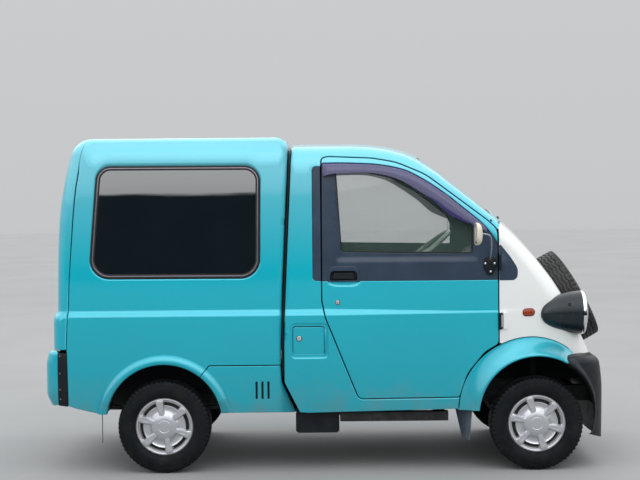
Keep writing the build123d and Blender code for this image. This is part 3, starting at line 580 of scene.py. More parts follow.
def grad(f, P, h=1.2):
    g = np.zeros_like(P)
    for k in range(3):
        d = np.zeros(3)
        d[k] = h
        g[:, k] = f(P + d) - f(P - d)
    return g / np.maximum(np.linalg.norm(g, axis=1, keepdims=True), 1e-9)


def shoot(f, O, D, T, level):
    """First point along each ray, from outside in, where f falls to the level."""
    a = np.zeros(len(O))
    b = np.full(len(O), float(T)) if not hasattr(T, "__len__") else np.asarray(T, float).copy()
    lev = np.broadcast_to(np.asarray(level, float), (len(O),))
    for _ in range(34):
        m = (a + b) / 2
        v = f(O + D * m[:, None]) - lev
        out = v > 0
        a = np.where(out, m, a)
        b = np.where(out, b, m)
    return O + D * ((a + b) / 2)[:, None]


class Side:
    """uv = (x, z) seen from the right side; s = -1 is the right side."""

    def __init__(self, f, s=-1, reach=560):
        self.f, self.s, self.reach = f, s, reach

    def xyz(self, uv, level=0.0):
        uv = np.asarray(uv, float)
        O = np.column_stack([uv[:, 0], np.full(len(uv), self.s * 900.0), uv[:, 1]])
        D = np.tile(np.array([0.0, -self.s, 0.0]), (len(uv), 1))
        return shoot(self.f, O, D, self.reach, level)

    def uv(self, P):
        return np.column_stack([P[:, 0], P[:, 2]])


class Wrap:
    """uv = (x, arc) round the body about a line along x; arc 0 is the crown, negative the right side."""
    R, ZC = 650.0, 900.0

    def __init__(self, f):
        self.f = f

    def xyz(self, uv, level=0.0):
        uv = np.asarray(uv, float)
        th = uv[:, 1] / self.R
        D = -np.column_stack([np.zeros(len(uv)), np.sin(th), np.cos(th)])
        O = np.column_stack([uv[:, 0], np.zeros(len(uv)), np.full(len(uv), self.ZC)]) - D * 1300
        return shoot(self.f, O, D, 1250, level)

    def uv(self, P):
        th = np.arctan2(P[:, 1], P[:, 2] - self.ZC)
        return np.column_stack([P[:, 0], th * self.R])

    def v_of(self, f, x, z, s):
        """The arc of the side point at x, z on side s."""
        uv = np.atleast_2d([[x, z]])
        return self.uv(Side(f, s).xyz(uv))[0, 1]


class Nose:
    """uv = (arc, z) round an upright axis inside the nose; arc 0 is straight ahead, negative the right side."""
    R = 560.0

    def __init__(self, f, x0=700.0, sign=1.0):
        self.f, self.x0, self.sign = f, x0, sign

    def xyz(self, uv, level=0.0):
        uv = np.asarray(uv, float)
        ph = uv[:, 0] / self.R
        D = -np.column_stack([np.cos(ph) * self.sign, np.sin(ph), np.zeros(len(uv))])
        O = np.column_stack([np.full(len(uv), self.x0), np.zeros(len(uv)), uv[:, 1]]) - D * 1500
        return shoot(self.f, O, D, 1480, level)

    def uv(self, P):
        ph = np.arctan2(P[:, 1], (P[:, 0] - self.x0) * self.sign)
        return np.column_stack([ph * self.R, P[:, 2]])


# ------------------------------------------------------------------ outlines in a patch's plane
def rows_to_poly(rows, step=9.0):
    """Closed outline with round corners, evenly sampled, counter-clockwise. Rows: a, b, radius."""
    P = np.array([(r[0], r[1]) for r in rows], float)
    rad = [r[2] if len(r) > 2 else 0.0 for r in rows]
    n = len(P)
    out = []
    for i in range(n):
        p, a, b = P[i], P[i - 1], P[(i + 1) % n]
        u, v = a - p, b - p
        lu, lv = np.linalg.norm(u), np.linalg.norm(v)
        u, v = u / lu, v / lv
        ang = math.acos(np.clip(u @ v, -1, 1))
        if rad[i] <= 0 or ang > math.pi - 0.02:
            out.append([p])
            continue
        t = min(rad[i] / math.tan(ang / 2), 0.48 * lu, 0.48 * lv)
        r = t * math.tan(ang / 2)
        c = p + (u + v) / np.linalg.norm(u + v) * (r / math.sin(ang / 2))
        s, e = p + u * t, p + v * t
        k = max(3, int(r * (math.pi - ang) / min(step, 6.0)) + 1)
        a0 = math.atan2(*(s - c)[::-1])
        a1 = math.atan2(*(e - c)[::-1])
        d = (a1 - a0 + math.pi) % (2 * math.pi) - math.pi
        out.append([c + r * np.array([math.cos(a0 + d * w), math.sin(a0 + d * w)]) for w in np.linspace(0, 1, k)])
    pts = []
    for i in range(n):
        seg = out[i]
        pts.extend(seg)
        nxt = out[(i + 1) % n][0]
        L = np.linalg.norm(nxt - seg[-1])
        k = int(L / step)
        for w in range(1, k):
            pts.append(seg[-1] + (nxt - seg[-1]) * w / k)
    return ccw(tidy(np.array(pts)))


def tidy(P, tol=0.6):
    keep = [0]
    for i in range(1, len(P)):
        if np.linalg.norm(P[i] - P[keep[-1]]) > tol:
            keep.append(i)
    if np.linalg.norm(P[keep[-1]] - P[0]) <= tol:
        keep.pop()
    return P[keep]


def area(P):
    x, y = P[:, 0], P[:, 1]
    return 0.5 * np.sum(x * np.roll(y, -1) - np.roll(x, -1) * y)


def ccw(P):
    return P if area(P) > 0 else P[::-1].copy()


def shift(P, d):
    """Moves a closed loop to its left by d."""
    T = np.roll(P, -1, 0) - np.roll(P, 1, 0)
    T /= np.maximum(np.linalg.norm(T, axis=1, keepdims=True), 1e-9)
    return P + np.column_stack([-T[:, 1], T[:, 0]]) * d


def resample(P, step):
    Q = np.vstack([P, P[:1]])
    s = np.concatenate([[0], np.cumsum(np.linalg.norm(np.diff(Q, axis=0), axis=1))])
    n = max(8, int(s[-1] / step))
    t = np.linspace(0, s[-1], n, endpoint=False)
    return np.column_stack([np.interp(t, s, Q[:, k]) for k in range(Q.shape[1])])


def inside(poly, P):
    x, y = P[:, 0][:, None], P[:, 1][:, None]
    x0, y0 = poly[:, 0][None], poly[:, 1][None]
    x1, y1 = np.roll(poly[:, 0], -1)[None], np.roll(poly[:, 1], -1)[None]
    c = (y0 > y) != (y1 > y)
    with np.errstate(divide="ignore", invalid="ignore"):
        xi = (x1 - x0) * (y - y0) / (y1 - y0) + x0
    return (np.sum(c & (x < xi), axis=1) % 2) == 1


def far_from(P, loops, d):
    ok = np.ones(len(P), bool)
    for L in loops:
        D = np.linalg.norm(P[:, None, :] - L[None, :, :], axis=2).min(axis=1)
        ok &= D > d
    return ok


def panel(name, patch, outer, holes=(), mats=None, body="chassis", step=16.0, edge=3.0, depth=14.0, level=0.0, skin=True,
          us=None, vs=None, extra=None, heap=None, mat_in=1, edge_mat=0, mirror=False, edges=None, **k):
    """A pressed panel: outline and holes in the patch's plane, rolled edges, wall of the given depth, closed at the back.
    level is a number or a function of uv."""
    lev = level if callable(level) else (lambda q, L=level: np.full(len(q), float(L)))
    ground = 0.0 if callable(level) else float(level)
    loops = [ccw(outer)] + [ccw(h)[::-1].copy() for h in holes]
    e_of = [edge] * len(loops) if edges is None else list(edges)
    phis = [math.radians(a) for a in (0, 22, 45, 68, 90)]
    base = [shift(L, e) for L, e in zip(loops, e_of)]
    lo, hi = loops[0].min(0), loops[0].max(0)
    us = np.arange(lo[0] + step / 2, hi[0], step) if us is None else np.array([u for u in us if lo[0] < u < hi[0]])
    vs = np.arange(lo[1] + step / 2, hi[1], step) if vs is None else np.array([v for v in vs if lo[1] < v < hi[1]])
    G = np.array(np.meshgrid(us, vs)).reshape(2, -1).T
    if extra is not None:
        G = np.vstack([G, extra])
    ok = inside(base[0], G)
    for b in base[1:]:
        ok &= ~inside(b, G)
    G = G[ok]
    G = G[far_from(G, base, 4.5)] if len(G) else G
    pts = np.vstack([G] + base)
    edges_c = []
    o = len(G)
    for b in base:
        n = len(b)
        edges_c += [(o + i, o + (i + 1) % n) for i in range(n)]
        o += n
    res = delaunay_2d_cdt([Vector(p) for p in pts.tolist()], edges_c, [], 0, 1e-4, True)
    V2 = np.array([tuple(v) for v in res[0]])
    F = np.array([f for f in res[2] if len(f) == 3])
    where = {}
    for i, ids in enumerate(res[3]):
        for j in ids:
            where[j] = i
    C = V2[F].mean(axis=1)
    ok = inside(base[0], C)
    for b in base[1:]:
        ok &= ~inside(b, C)
    F = F[ok]
    a, b, c = V2[F[:, 0]], V2[F[:, 1]], V2[F[:, 2]]
    ar = (b[:, 0] - a[:, 0]) * (c[:, 1] - a[:, 1]) - (b[:, 1] - a[:, 1]) * (c[:, 0] - a[:, 0])
    F = F[np.abs(ar) > 1e-3]
    P3 = patch.xyz(V2, lev(V2))
    N3 = grad(patch.f, P3)
    if callable(level):
        # a sunk or raised field tilts the surface: take normals from a small uv difference
        hh = 1.5
        pu = patch.xyz(V2 + [hh, 0], lev(V2 + [hh, 0])) - patch.xyz(V2 - [hh, 0], lev(V2 - [hh, 0]))
        pv = patch.xyz(V2 + [0, hh], lev(V2 + [0, hh])) - patch.xyz(V2 - [0, hh], lev(V2 - [0, hh]))
        nn = np.cross(pu, pv)
        nn /= np.maximum(np.linalg.norm(nn, axis=1, keepdims=True), 1e-9)
        nn *= np.sign(np.sum(nn * N3, axis=1, keepdims=True))
        N3 = nn
    # orientation
    t = F[: min(len(F), 400)]
    g = np.cross(P3[t[:, 1]] - P3[t[:, 0]], P3[t[:, 2]] - P3[t[:, 0]])
    flip = np.sum(np.sum(g * N3[t[:, 0]], axis=1)) < 0
    verts, norms, faces, fm = [P3], [N3], [list(f[::-1]) if flip else list(f) for f in F], [0] * len(F)
    nv = len(P3)
    if skin:
        Pb = patch.xyz(V2, np.full(len(V2), ground - (depth + max(e_of))))
        Nb = -grad(patch.f, Pb)
        verts.append(Pb)
        norms.append(Nb)
        off_b = nv
        faces += [list(f + off_b) if flip else list(f[::-1] + off_b) for f in F]
        fm += [mat_in] * len(F)
        nv += len(Pb)
    o = len(G)
    for L, bs, e in zip(loops, base, e_of):
        n = len(L)
        ring = [where[o + i] for i in range(n)]
        o += n
        n_s = grad(patch.f, patch.xyz(bs, lev(bs)))
        rim0, rim1 = patch.xyz(L, lev(bs) - e), patch.xyz(bs, lev(bs) - e)
        out = rim0 - rim1
        out /= np.maximum(np.linalg.norm(out, axis=1, keepdims=True), 1e-9)
        prev = ring
        for ph in phis[1:]:
            q = shift(L, e * (1 - math.sin(ph)))
            p = patch.xyz(q, lev(bs) - e * (1 - math.cos(ph)))
            verts.append(p)
            norms.append(math.cos(ph) * n_s + math.sin(ph) * out)
            cur = list(range(nv, nv + n))
            nv += n
            for i in range(n):
                j = (i + 1) % n
                q4 = [prev[i], cur[i], cur[j], prev[j]]
                faces.append(q4 if not flip else q4[::-1])
                fm.append(0)
            prev = cur
        # wall
        back = ground - (depth + max(e_of))
        p = patch.xyz(L, np.full(n, back))
        verts.append(p)
        norms.append(out)
        cur = list(range(nv, nv + n))
        nv += n
        for i in range(n):
            j = (i + 1) % n
            q4 = [prev[i], cur[i], cur[j], prev[j]]
            faces.append(q4 if not flip else q4[::-1])
            fm.append(edge_mat)
        if skin:
            verts.append(p)
            norms.append(-grad(patch.f, p))
            cur = list(range(nv, nv + n))
            nv += n
            inner = [off_b + r for r in ring]
            for i in range(n):
                j = (i + 1) % n
                q4 = [cur[i], inner[i], inner[j], cur[j]]
                faces.append(q4 if not flip else q4[::-1])
                fm.append(mat_in)
    V, N = np.vstack(verts), np.vstack(norms)
    if heap is not None:
        heap.append((V, N, faces, fm))
        if mirror:
            heap.append((V * [1, -1, 1], N * [1, -1, 1], [f[::-1] for f in faces], fm))
        return None
    return put_parts(name, [(V, N, faces, fm)] + ([(V * [1, -1, 1], N * [1, -1, 1], [f[::-1] for f in faces], fm)] if mirror else []), mats, body, **k)


def put_parts(name, parts, mats, body, **k):
    V, N, F, M = [], [], [], []
    n = 0
    for v, nn, f, m in parts:
        V.append(v)
        N.append(nn)
        F += [[i + n for i in q] for q in f]
        M += list(m)
        n += len(v)
    return put(name, np.vstack(V), F, mats, body, face_mats=M, normals=np.vstack(N), **k)


# ------------------------------------------------------------------ load box
boxw = Wrap(f_box)
cabw = Wrap(f_cab)


def wrap_z_lines(patch, f, x, zs):
    out = []
    for s in (-1, 1):
        P = Side(f, s).xyz(np.array([[x, z] for z in zs]))
        out += list(patch.uv(P)[:, 1])
    return out


Z_LINES = [300, 322, 345, 370, 400, 430, 460, 490, 520, 550, 580, 610, 640, 670, 700, 725, 748, 764, 771, 776, 781, 787, 793, 799, 804, 809, 818,
           835, 860, 890, 920, 950, 980, 1010, 1040, 1070, 1100, 1140, 1180, 1220, 1260, 1300, 1340, 1380, 1410, 1440, 1465, 1490, 1510]


def wrap_outline(patch, f, right_rows, step=9.0):
    """The right half of a patch outline over the roof, from a right-hand side-view edge list that runs from one end to
    the other.
    """
    P = np.array([(r[0], r[1]) for r in right_rows], float)
    # sample along the side view, then map
    Q = [P[0]]
    for a, b in zip(P[:-1], P[1:]):
        k = max(1, int(np.linalg.norm(b - a) / step))
        for w in range(1, k + 1):
            Q.append(a + (b - a) * w / k)
    Q = np.array(Q)
    R = patch.uv(Side(f, -1).xyz(Q))
    return R


def gate_x(z):
    """The tailgate's front edge in side view."""
    zz = [300, 611, 793, 881, 959, 1257, 1359, 1426, 1486, 1536, 1584, 1615, 1643, 1700]
    xx = [-1312, -1312, -1303, -1299, -1296, -1275, -1266, -1258, -1248, -1239, -1230, -1221, -1208, -1204]
    return np.interp(z, zz, xx)


def arch_points(arch, r, a0, a1, step=7.0):
    x, z = arch[0], arch[1]
    n = max(4, int(abs(math.radians(a1 - a0)) * r / step))
    a = np.radians(np.linspace(a0, a1, n))
    return np.column_stack([x + r * np.cos(a), z + r * np.sin(a)])


ARCH_REAR, ARCH_FRONT = (-827.0, 256.0), (1014.0, 275.0)


def box_edge_right():
    """Side-view line of the load box's lower edge, from the tailgate forward, with the wheel arch."""
    rows = [(-1302, 611)]
    rows += [(-1300, 470), (-1298, 336)]
    rows += [(-1258, 322), (-1213, 311), (-1165, 300), (-1111.5, 296)]
    arc = arch_points(ARCH_REAR, 287, 172, 51.0)
    rows += [tuple(p) for p in arc]
    rows += [tuple(np.array(ARCH_REAR) + 336 * np.array([math.cos(math.radians(51)), math.sin(math.radians(51))]))]
    rows += [(-606, 531.5), (-240, 531.5)]
    return rows


right = box_edge_right()
low = wrap_outline(boxw, f_box, right)
gz = np.array([611, 700, 776, 803, 881, 959, 1100, 1257, 1359, 1426, 1486])
# tailgate edge, from low to roof, continued over the crown at a fixed x
gate_side = boxw.uv(Side(f_box, -1).xyz(np.column_stack([gate_x(gz) + 8, gz])))
gate_top = np.array([[-1238, 0], [-1228, 0], [-1219, 0], [-1207, 0], [-1199, 0]], float)
th = [-math.atan2(548, 1536 - 900), -math.atan2(540, 1584 - 900), -math.atan2(526, 1615 - 900), -math.atan2(495, 1643 - 900), -math.atan2(400, 1660 - 900)]
gate_top[:, 1] = np.array(th) * 650
front_z = np.array([531.5, 620, 700, 776, 803, 900, 1000, 1100, 1200, 1300, 1400, 1500, 1560])
front_side = boxw.uv(Side(f_box, -1).xyz(np.column_stack([-249 + 45 * np.clip((front_z - 700) / 940, 0, 2), front_z])))


def dense(P, step=9.0):
    out = [P[0]]
    for a, b in zip(P[:-1], P[1:]):
        k = max(1, int(np.linalg.norm(b - a) / step))
        for w in range(1, k + 1):
            out.append(a + (b - a) * w / k)
    return np.array(out)


gate_line = dense(np.vstack([gate_side, gate_top]))
front_line = dense(np.vstack([front_side, [[-206, -300], [-205, 0]]]))
right_half = np.vstack([gate_line[::-1], low[1:-1], front_line])          # roof rear -> down -> sill -> front -> roof
left_half = right_half[::-1] * [1, -1]
box_outer = tidy(np.vstack([right_half, left_half]), 2.0)
BOX_WIN = [(-1101, 1519, 66), (-1147, 1470, 200), (-1187, 1076, 300), (-1180, 985, 70), (-1117, 963, 60), (-429, 960, 60), (-352, 975, 80),
           (-344, 1445, 80), (-352, 1516, 70)]
BOX_WIN = [(-1152, 1519, 74), (-1194, 962, 96), (-350, 959, 96), (-344, 1516, 78)]
win = rows_to_poly(BOX_WIN)
win_r = boxw.uv(Side(f_box, -1).xyz(win))
vl = sorted(wrap_z_lines(boxw, f_box, -700, Z_LINES) + list(np.arange(-395, 396, 18)))
ul = list(np.arange(-1296, -290, 18)) + list(np.arange(-290, -200, 8))
cargo = panel("cargo_body", boxw, box_outer, [win_r, win_r * [1, -1]], [TEAL, TRIM, GAP], "chassis", us=ul, vs=vl, edge=4.5, depth=22,
              edges=[4.0, 9, 9], edge_mat=2, replaces=("cargo_shell",), slot="teal_paint")


class Rays:
    """uv on a plane through o with axes e1, e2; rays run along d (inwards)."""

    def __init__(self, f, o, e1, e2, d, back=500.0, reach=900.0):
        self.f, self.o = f, np.asarray(o, float)
        self.e1, self.e2, self.d = (np.asarray(e, float) / np.linalg.norm(e) for e in (e1, e2, d))
        self.back, self.reach = back, reach

    def xyz(self, uv, level=0.0):
        uv = np.asarray(uv, float)
        O = self.o + uv[:, :1] * self.e1 + uv[:, 1:2] * self.e2 - self.d * self.back
        return shoot(self.f, O, np.tile(self.d, (len(uv), 1)), self.reach, level)

    def uv(self, P):
        q = P - self.o
        return np.column_stack([q @ self.e1, q @ self.e2])


class Fan:
    """uv seen from an inner point c, looking along a main direction; a gnomonic view that reaches round the corners."""
    R = 450.0

    def __init__(self, f, c, sign=-1.0):
        self.f, self.c, self.sign = f, np.asarray(c, float), sign

    def xyz(self, uv, level=0.0):
        uv = np.asarray(uv, float) / self.R
        D = np.column_stack([np.full(len(uv), self.sign), uv[:, 0], uv[:, 1]])
        D /= np.linalg.norm(D, axis=1, keepdims=True)
        O = self.c + D * 1500
        return shoot(self.f, O, -D, 1495, level)

    def uv(self, P):
        q = P - self.c
        dep = q[:, 0] * self.sign
        return np.column_stack([q[:, 1] / dep, q[:, 2] / dep]) * self.R


class Plate:
    """uv on a flat plane through o with axes e1, e2; n points outwards."""

    def __init__(self, o, e1, e2, n):
        self.o = np.asarray(o, float)
        self.e1, self.e2, self.n = (np.asarray(e, float) / np.linalg.norm(e) for e in (e1, e2, n))

    def f(self, P):
        return (P - self.o) @ self.n

    def xyz(self, uv, level=0.0):
        uv = np.asarray(uv, float)
        lev = np.broadcast_to(np.asarray(level, float), (len(uv),))
        return self.o + uv[:, :1] * self.e1 + uv[:, 1:2] * self.e2 + lev[:, None] * self.n

    def uv(self, P):
        q = P - self.o
        return np.column_stack([q @ self.e1, q @ self.e2])


def bulkhead(patch, f_wrap, x, z_low, inset):
    """Outline on a flat plate of the body's cross-section at x, from z_low up over the crown, moved in by the inset."""
    a = abs(f_wrap.uv(Side(f_wrap.f, -1).xyz(np.array([[x, z_low]])))[0, 1])
    P = f_wrap.xyz(np.column_stack([np.full(240, float(x)), np.linspace(-a, a, 240)]), -inset)
    q = patch.uv(P)
    return ccw(tidy(np.vstack([q, dense(np.array([q[-1], q[0]]), 20)[1:-1]]), 3.0))


def above(P, U, keep=1):
    """The part of closed loop P above (keep=1) or below (keep=-1) the curve z = U(x)."""
    g = keep * (P[:, 1] - U(P[:, 0]))
    n = len(P)
    start = [i for i in range(n) if g[i - 1] <= 0 < g[i]]
    runs = []
    for s in start:
        run, i = [], s
        while g[i % n] > 0 and len(run) < n:
            run.append(i % n)
            i += 1
        runs.append(run)
    run = max(runs, key=len)

    def cross(a, b):
        t = g[a] / (g[a] - g[b])
        return P[a] + (P[b] - P[a]) * t

    p0, p1 = cross(run[0] - 1, run[0]), cross(run[-1], (run[-1] + 1) % n)
    m = max(3, int(abs(p0[0] - p1[0]) / 9))
    xs = np.linspace(p1[0], p0[0], m)[1:-1]
    back = np.column_stack([xs, U(xs)])
    return ccw(tidy(np.vstack([[p0], P[run], [p1], back]), 1.0))


def line_of(points):
    Q = np.array(points, float)
    s = smooth_path(np.column_stack([Q, np.zeros(len(Q))]), 6.0)
    o = np.argsort(s[:, 0])
    return lambda x: np.interp(x, s[o, 0], s[o, 1])


def mirror_parts(parts):
    return [(V * [1, -1, 1], N * [1, -1, 1], [f[::-1] for f in F], M) for V, N, F, M in parts]


def both(name, parts, mats, right_body, left_body, replaces=None, slot=None, **k):
    """The same parts on the right, and mirrored on the left; bodies named for each side."""
    for side, body in (("right", right_body), ("left", left_body)):
        pp = parts if side == "right" else mirror_parts(parts)
        put_parts(side + "_" + name, pp, mats, body, slot=slot, replaces=tuple(side + "_" + r for r in replaces) if replaces else (), **k)


sideR = Side(f_cab, -1)
boxR = Side(f_box, -1)
GATE_FAN = Fan(f_box, (-900, 0, 1050))
TOP_CAB = Rays(f_cab, (0, 0, 1800), (1, 0, 0), (0, 1, 0), (0, 0, -1), 0, 1500)
TOP_BOX = Rays(f_box, (0, 0, 1800), (1, 0, 0), (0, 1, 0), (0, 0, -1), 0, 900)
REAR_END = Rays(f_box, (-1700, 0, 0), (0, 1, 0), (0, 0, 1), (1, 0, 0), 0, 700)
FRONT_END = Rays(f_box, (100, 0, 0), (0, 1, 0), (0, 0, 1), (-1, 0, 0), 0, 700)
UPRIGHT_REAR = Nose(f_box, -1000.0, -1.0)

# ------------------------------------------------------------------ tailgate
gz2 = np.linspace(614, 1500, 90)
g_side = Side(f_box, -1).xyz(np.column_stack([gate_x(gz2) + 2.5, gz2]))
gy = np.linspace(-470, 470, 90)
g_top = TOP_BOX.xyz(np.column_stack([np.full(90, -1206.0), gy]))
cz = np.array([1536, 1584, 1615, 1643.0])
cy = -np.array([548, 540, 526, 500.0])
g_cor = np.column_stack([gate_x(cz) + 2.5, cy, cz])
ph = np.linspace(-math.pi / 2 + 0.02, math.pi / 2 - 0.02, 161)
bot = Nose(f_box, -1200.0, -1.0)
bt = bot.xyz(np.column_stack([ph * 560, np.full(161, 614.0)]))
bt = bt[bt[:, 0] < -1312.5]
right_edge = np.vstack([g_side, g_cor])
loop = np.vstack([right_edge, g_top, (right_edge * [1, -1, 1])[::-1], bt[::-1] if bt[0, 1] < 0 else bt])
gate_outer = tidy(GATE_FAN.uv(loop), 2.5)
gw = rows_to_poly([(-486, 1010, 74), (486, 1010, 74), (440, 1500, 84), (-440, 1500, 84)])
gate_win = GATE_FAN.uv(REAR_END.xyz(gw))
fan_z = GATE_FAN.uv(REAR_END.xyz(np.column_stack([np.zeros(60), np.concatenate([np.linspace(620, 760, 8), [768, 772, 776, 781, 787, 793, 799, 804, 809, 816],
                                                                              np.linspace(830, 1600, 36), np.linspace(1612, 1640, 6)])])))[:, 1]
panel("tailgate_panel", GATE_FAN, gate_outer, [gate_win], [TEAL, TRIM, GAP], "tailgate", step=13, edge_mat=2, vs=sorted(list(fan_z) + list(np.arange(fan_z.max() + 12, 900, 12))),
      edges=[4.5, 8], depth=22, replaces=("tailgate",), slot="teal_paint")
g_in = GATE_FAN.uv(REAR_END.xyz(shift(ccw(gw), 2.0)))
g_mid = GATE_FAN.uv(REAR_END.xyz(shift(ccw(gw), 20.0)))
panel("tailgate_window_seal", GATE_FAN, g_in, [g_mid], [SEAL], "tailgate", step=14, edge=2.5, depth=12, level=-4, mat_in=0)
panel("tailgate_window", GATE_FAN, GATE_FAN.uv(REAR_END.xyz(shift(ccw(gw), 18.5))), [], [DARKGLASS], "tailgate", step=26, edge=1.2, depth=8, level=-6,
      mat_in=0, replaces=("tailgate_glass",), slot="dark_glass")

# load box's front wall
box_plate = Plate((-261.4, 0, 300), (0, 1, 0), (0.0335, 0, 1), (1, 0, -0.0335))
panel("cargo_front_wall", box_plate, bulkhead(box_plate, boxw, -300, 330, 17), [], [TEAL, TRIM], "chassis", step=40, edge=2, depth=10)

# side windows of the load box: gasket, grey ring, dark glass
wl = [shift(ccw(win), d) for d in (1.0, 9.0, 16.0, 22.0)]
hp = []
panel("", boxR, wl[0], [wl[1]], heap=hp, step=20, edge=2.5, depth=12, level=-3.0, mirror=True)
put_parts("cargo_window_gasket", hp, [SEAL, SEAL], "chassis")
hp = []
panel("", boxR, wl[1], [wl[2]], heap=hp, step=20, edge=2.2, depth=12, level=-1.0, mirror=True)
put_parts("cargo_window_ring", hp, [GREYTRIM, GREYTRIM], "chassis")
hp = []
panel("", boxR, wl[2], [wl[3]], heap=hp, step=20, edge=1.8, depth=12, level=-4.0, mirror=True)
put_parts("cargo_window_inner_seal", hp, [SEAL, SEAL], "chassis")
hp = []
panel("", boxR, wl[3], [], heap=hp, step=36, edge=1.0, depth=6, level=-6.5, mirror=True)
put_parts("cargo_window_glass", hp, [DARKGLASS, DARKGLASS], "chassis", replaces=("cargo_side_glass",), slot="dark_glass")

# ------------------------------------------------------------------ cab shell
DOOR_ROWS = [(-44, 1549, 24), (-10, 1557, 60), (208, 1547, 400), (325, 1526, 300), (470, 1464, 300), (774, 1236, 60), (823, 1192, 60), (826, 1000, 0),
             (826, 626, 26), (756, 586, 120), (670, 482, 160), (630, 364, 16), (132, 360, 34), (-30, 765, 60), (-46, 845, 40), (-46, 900, 0)]
door = rows_to_poly(DOOR_ROWS, 8.0)
WINDOW_ROWS = [(22, 1506, 14), (215, 1496, 300), (350, 1463, 240), (500, 1380, 200), (676, 1246, 30), (703, 1190, 40), (700, 1071, 14), (49, 1084, 16)]
visor_top = line_of([(-60, 1526), (-34, 1525), (40, 1526), (132, 1523), (245, 1515), (359, 1491), (434, 1456), (509, 1410), (584, 1357), (660, 1295), (735, 1234),
                     (775, 1192), (802, 1156), (830, 1112), (860, 1060)])
visor_low = line_of([(-60, 1458), (-35, 1460), (18, 1471), (110, 1475), (206, 1473), (275, 1460), (341, 1438), (401, 1404), (507, 1331), (581, 1266), (640, 1236), (709, 1208),
                     (760, 1180)])
GAPH = 2.8
# door opening of the shell: door line moved out, with the B-pillar insert let in behind it
opening = shift(door, -GAPH)
INSERT = rows_to_poly([(-90, 943, 24), (-46 - GAPH, 943, 0), (-46 - GAPH, 1508, 0), (-90, 1508, 24)], 7.0)


def notch_path():
    """Door opening as an open path from the lower front corner, round the back, to the upper front corner, clockwise seen from the right."""
    P = opening
    n = len(P)
    # loop is counter-clockwise in (x, z): take it in reverse so it runs bottom front -> bottom back -> up -> forward
    Q = P[::-1]
    i0 = int(np.argmin(np.hypot(Q[:, 0] - 630, Q[:, 1] - 362)))
    Q = np.roll(Q, -i0, axis=0)
    i1 = int(np.argmin(np.hypot(Q[:, 0] - 824, Q[:, 1] - 1190)))
    Q = Q[: i1 + 1]
    a = [p for p in Q if not (p[0] < -40 and 936 < p[1] < 1515)]
    k = next(i for i, p in enumerate(a) if p[0] < -30 and p[1] > 1500)
    ins = INSERT[::-1]
    j = int(np.argmin(np.hypot(ins[:, 0] + 46 + GAPH, ins[:, 1] - 943)))
    ins = np.roll(ins, -j, axis=0)
    ins = [p for p in ins if not (p[0] > -50 and 946 < p[1] < 1505)]
    return np.array(a[:k] + list(ins) + a[k:])


np_path = notch_path()
gap_z = np.linspace(1560, 447, 110)
rear_edge = np.column_stack([-233 + 45 * np.clip((gap_z - 700) / 940, 0, 2), gap_z])
diag = dense(np.array([(-233.0, 447.0), (-228, 436), (-158, 296)]), 8)
sill = dense(np.array([(-158.0, 296.0), (-120, 293), (632, 306)]), 10)
front_low = arch_points((980.0, 300.0), 357, 180.5, 169.5, 7)
side_path = np.vstack([rear_edge, diag[1:], sill[1:], front_low[1:], np_path])
P_side = Side(f_cab, -1).xyz(side_path)
roof_rear_y = np.linspace(0, -470, 40)
P_roof = TOP_CAB.xyz(np.column_stack([np.full(40, -189.5), roof_rear_y]))
COWL = 886.0
cy = np.linspace(-548, 0, 50)
P_cowl = TOP_CAB.xyz(np.column_stack([np.sqrt((2000 + COWL) ** 2 - cy ** 2) - 2000 - 6 * (np.abs(cy) / 548) ** 6, cy]))
foot = Side(f_cab, -1).xyz(np.array([(829.0, 1192.0), (833, 1205), (836, 1214)]))
halfloop = np.vstack([P_roof, P_side, foot, P_cowl])
h_uv = cabw.uv(halfloop)
cab_outer = tidy(np.vstack([h_uv, (h_uv * [1, -1])[::-1]]), 2.5)
WS = Rays(f_cab, (660, 0, 1396), (0, 1, 0), (-0.8, 0, 0.6), (-0.6, 0, -0.8), 400, 900)
ws_rows = [(-486, -204, 66), (486, -204, 66), (428, 262, 74), (-428, 262, 74)]
ws_poly = rows_to_poly(ws_rows)
ws_hole = cabw.uv(WS.xyz(ws_poly))
vl = sorted(wrap_z_lines(cabw, f_cab, 100, [z for z in Z_LINES if z < 1480]) + list(np.arange(-470, 471, 16)))
ul = list(np.arange(-228, -180, 8)) + list(np.arange(-172, 900, 15))
def inner_distance(poly, q):
    d = np.zeros(len(q))
    for i in range(0, len(q), 2000):
        d[i:i + 2000] = np.linalg.norm(q[i:i + 2000, None, :] - poly[None], axis=2).min(axis=1)
    return np.where(inside(poly, q), d, -d)


LID_CUT = rows_to_poly([(-191.5, 581.5, 15), (-32.5, 581.5, 15), (-32.5, 720.5, 15), (-191.5, 720.5, 15)], 6.0)
LID_ZONE = rows_to_poly([(-202, 562, 24), (-16, 562, 24), (-16, 736, 24), (-202, 736, 24)], 6.0)


def signed_inside(poly, q):
    d = np.full(len(q), -50.0)
    near = np.all((q > poly.min(0) - 12) & (q < poly.max(0) + 12), axis=1)
    if near.any():
        d[near] = inner_distance(poly, q[near])
    return d


def cab_level(q):
    P = cabw.xyz(q, np.zeros(len(q)))
    d = signed_inside(LID_ZONE, P[:, [0, 2]])
    t = np.clip((d + 0.5) / 4.5, 0, 1)
    return np.where(P[:, 1] < 0, -4.5 * t * t * (3 - 2 * t), 0.0)


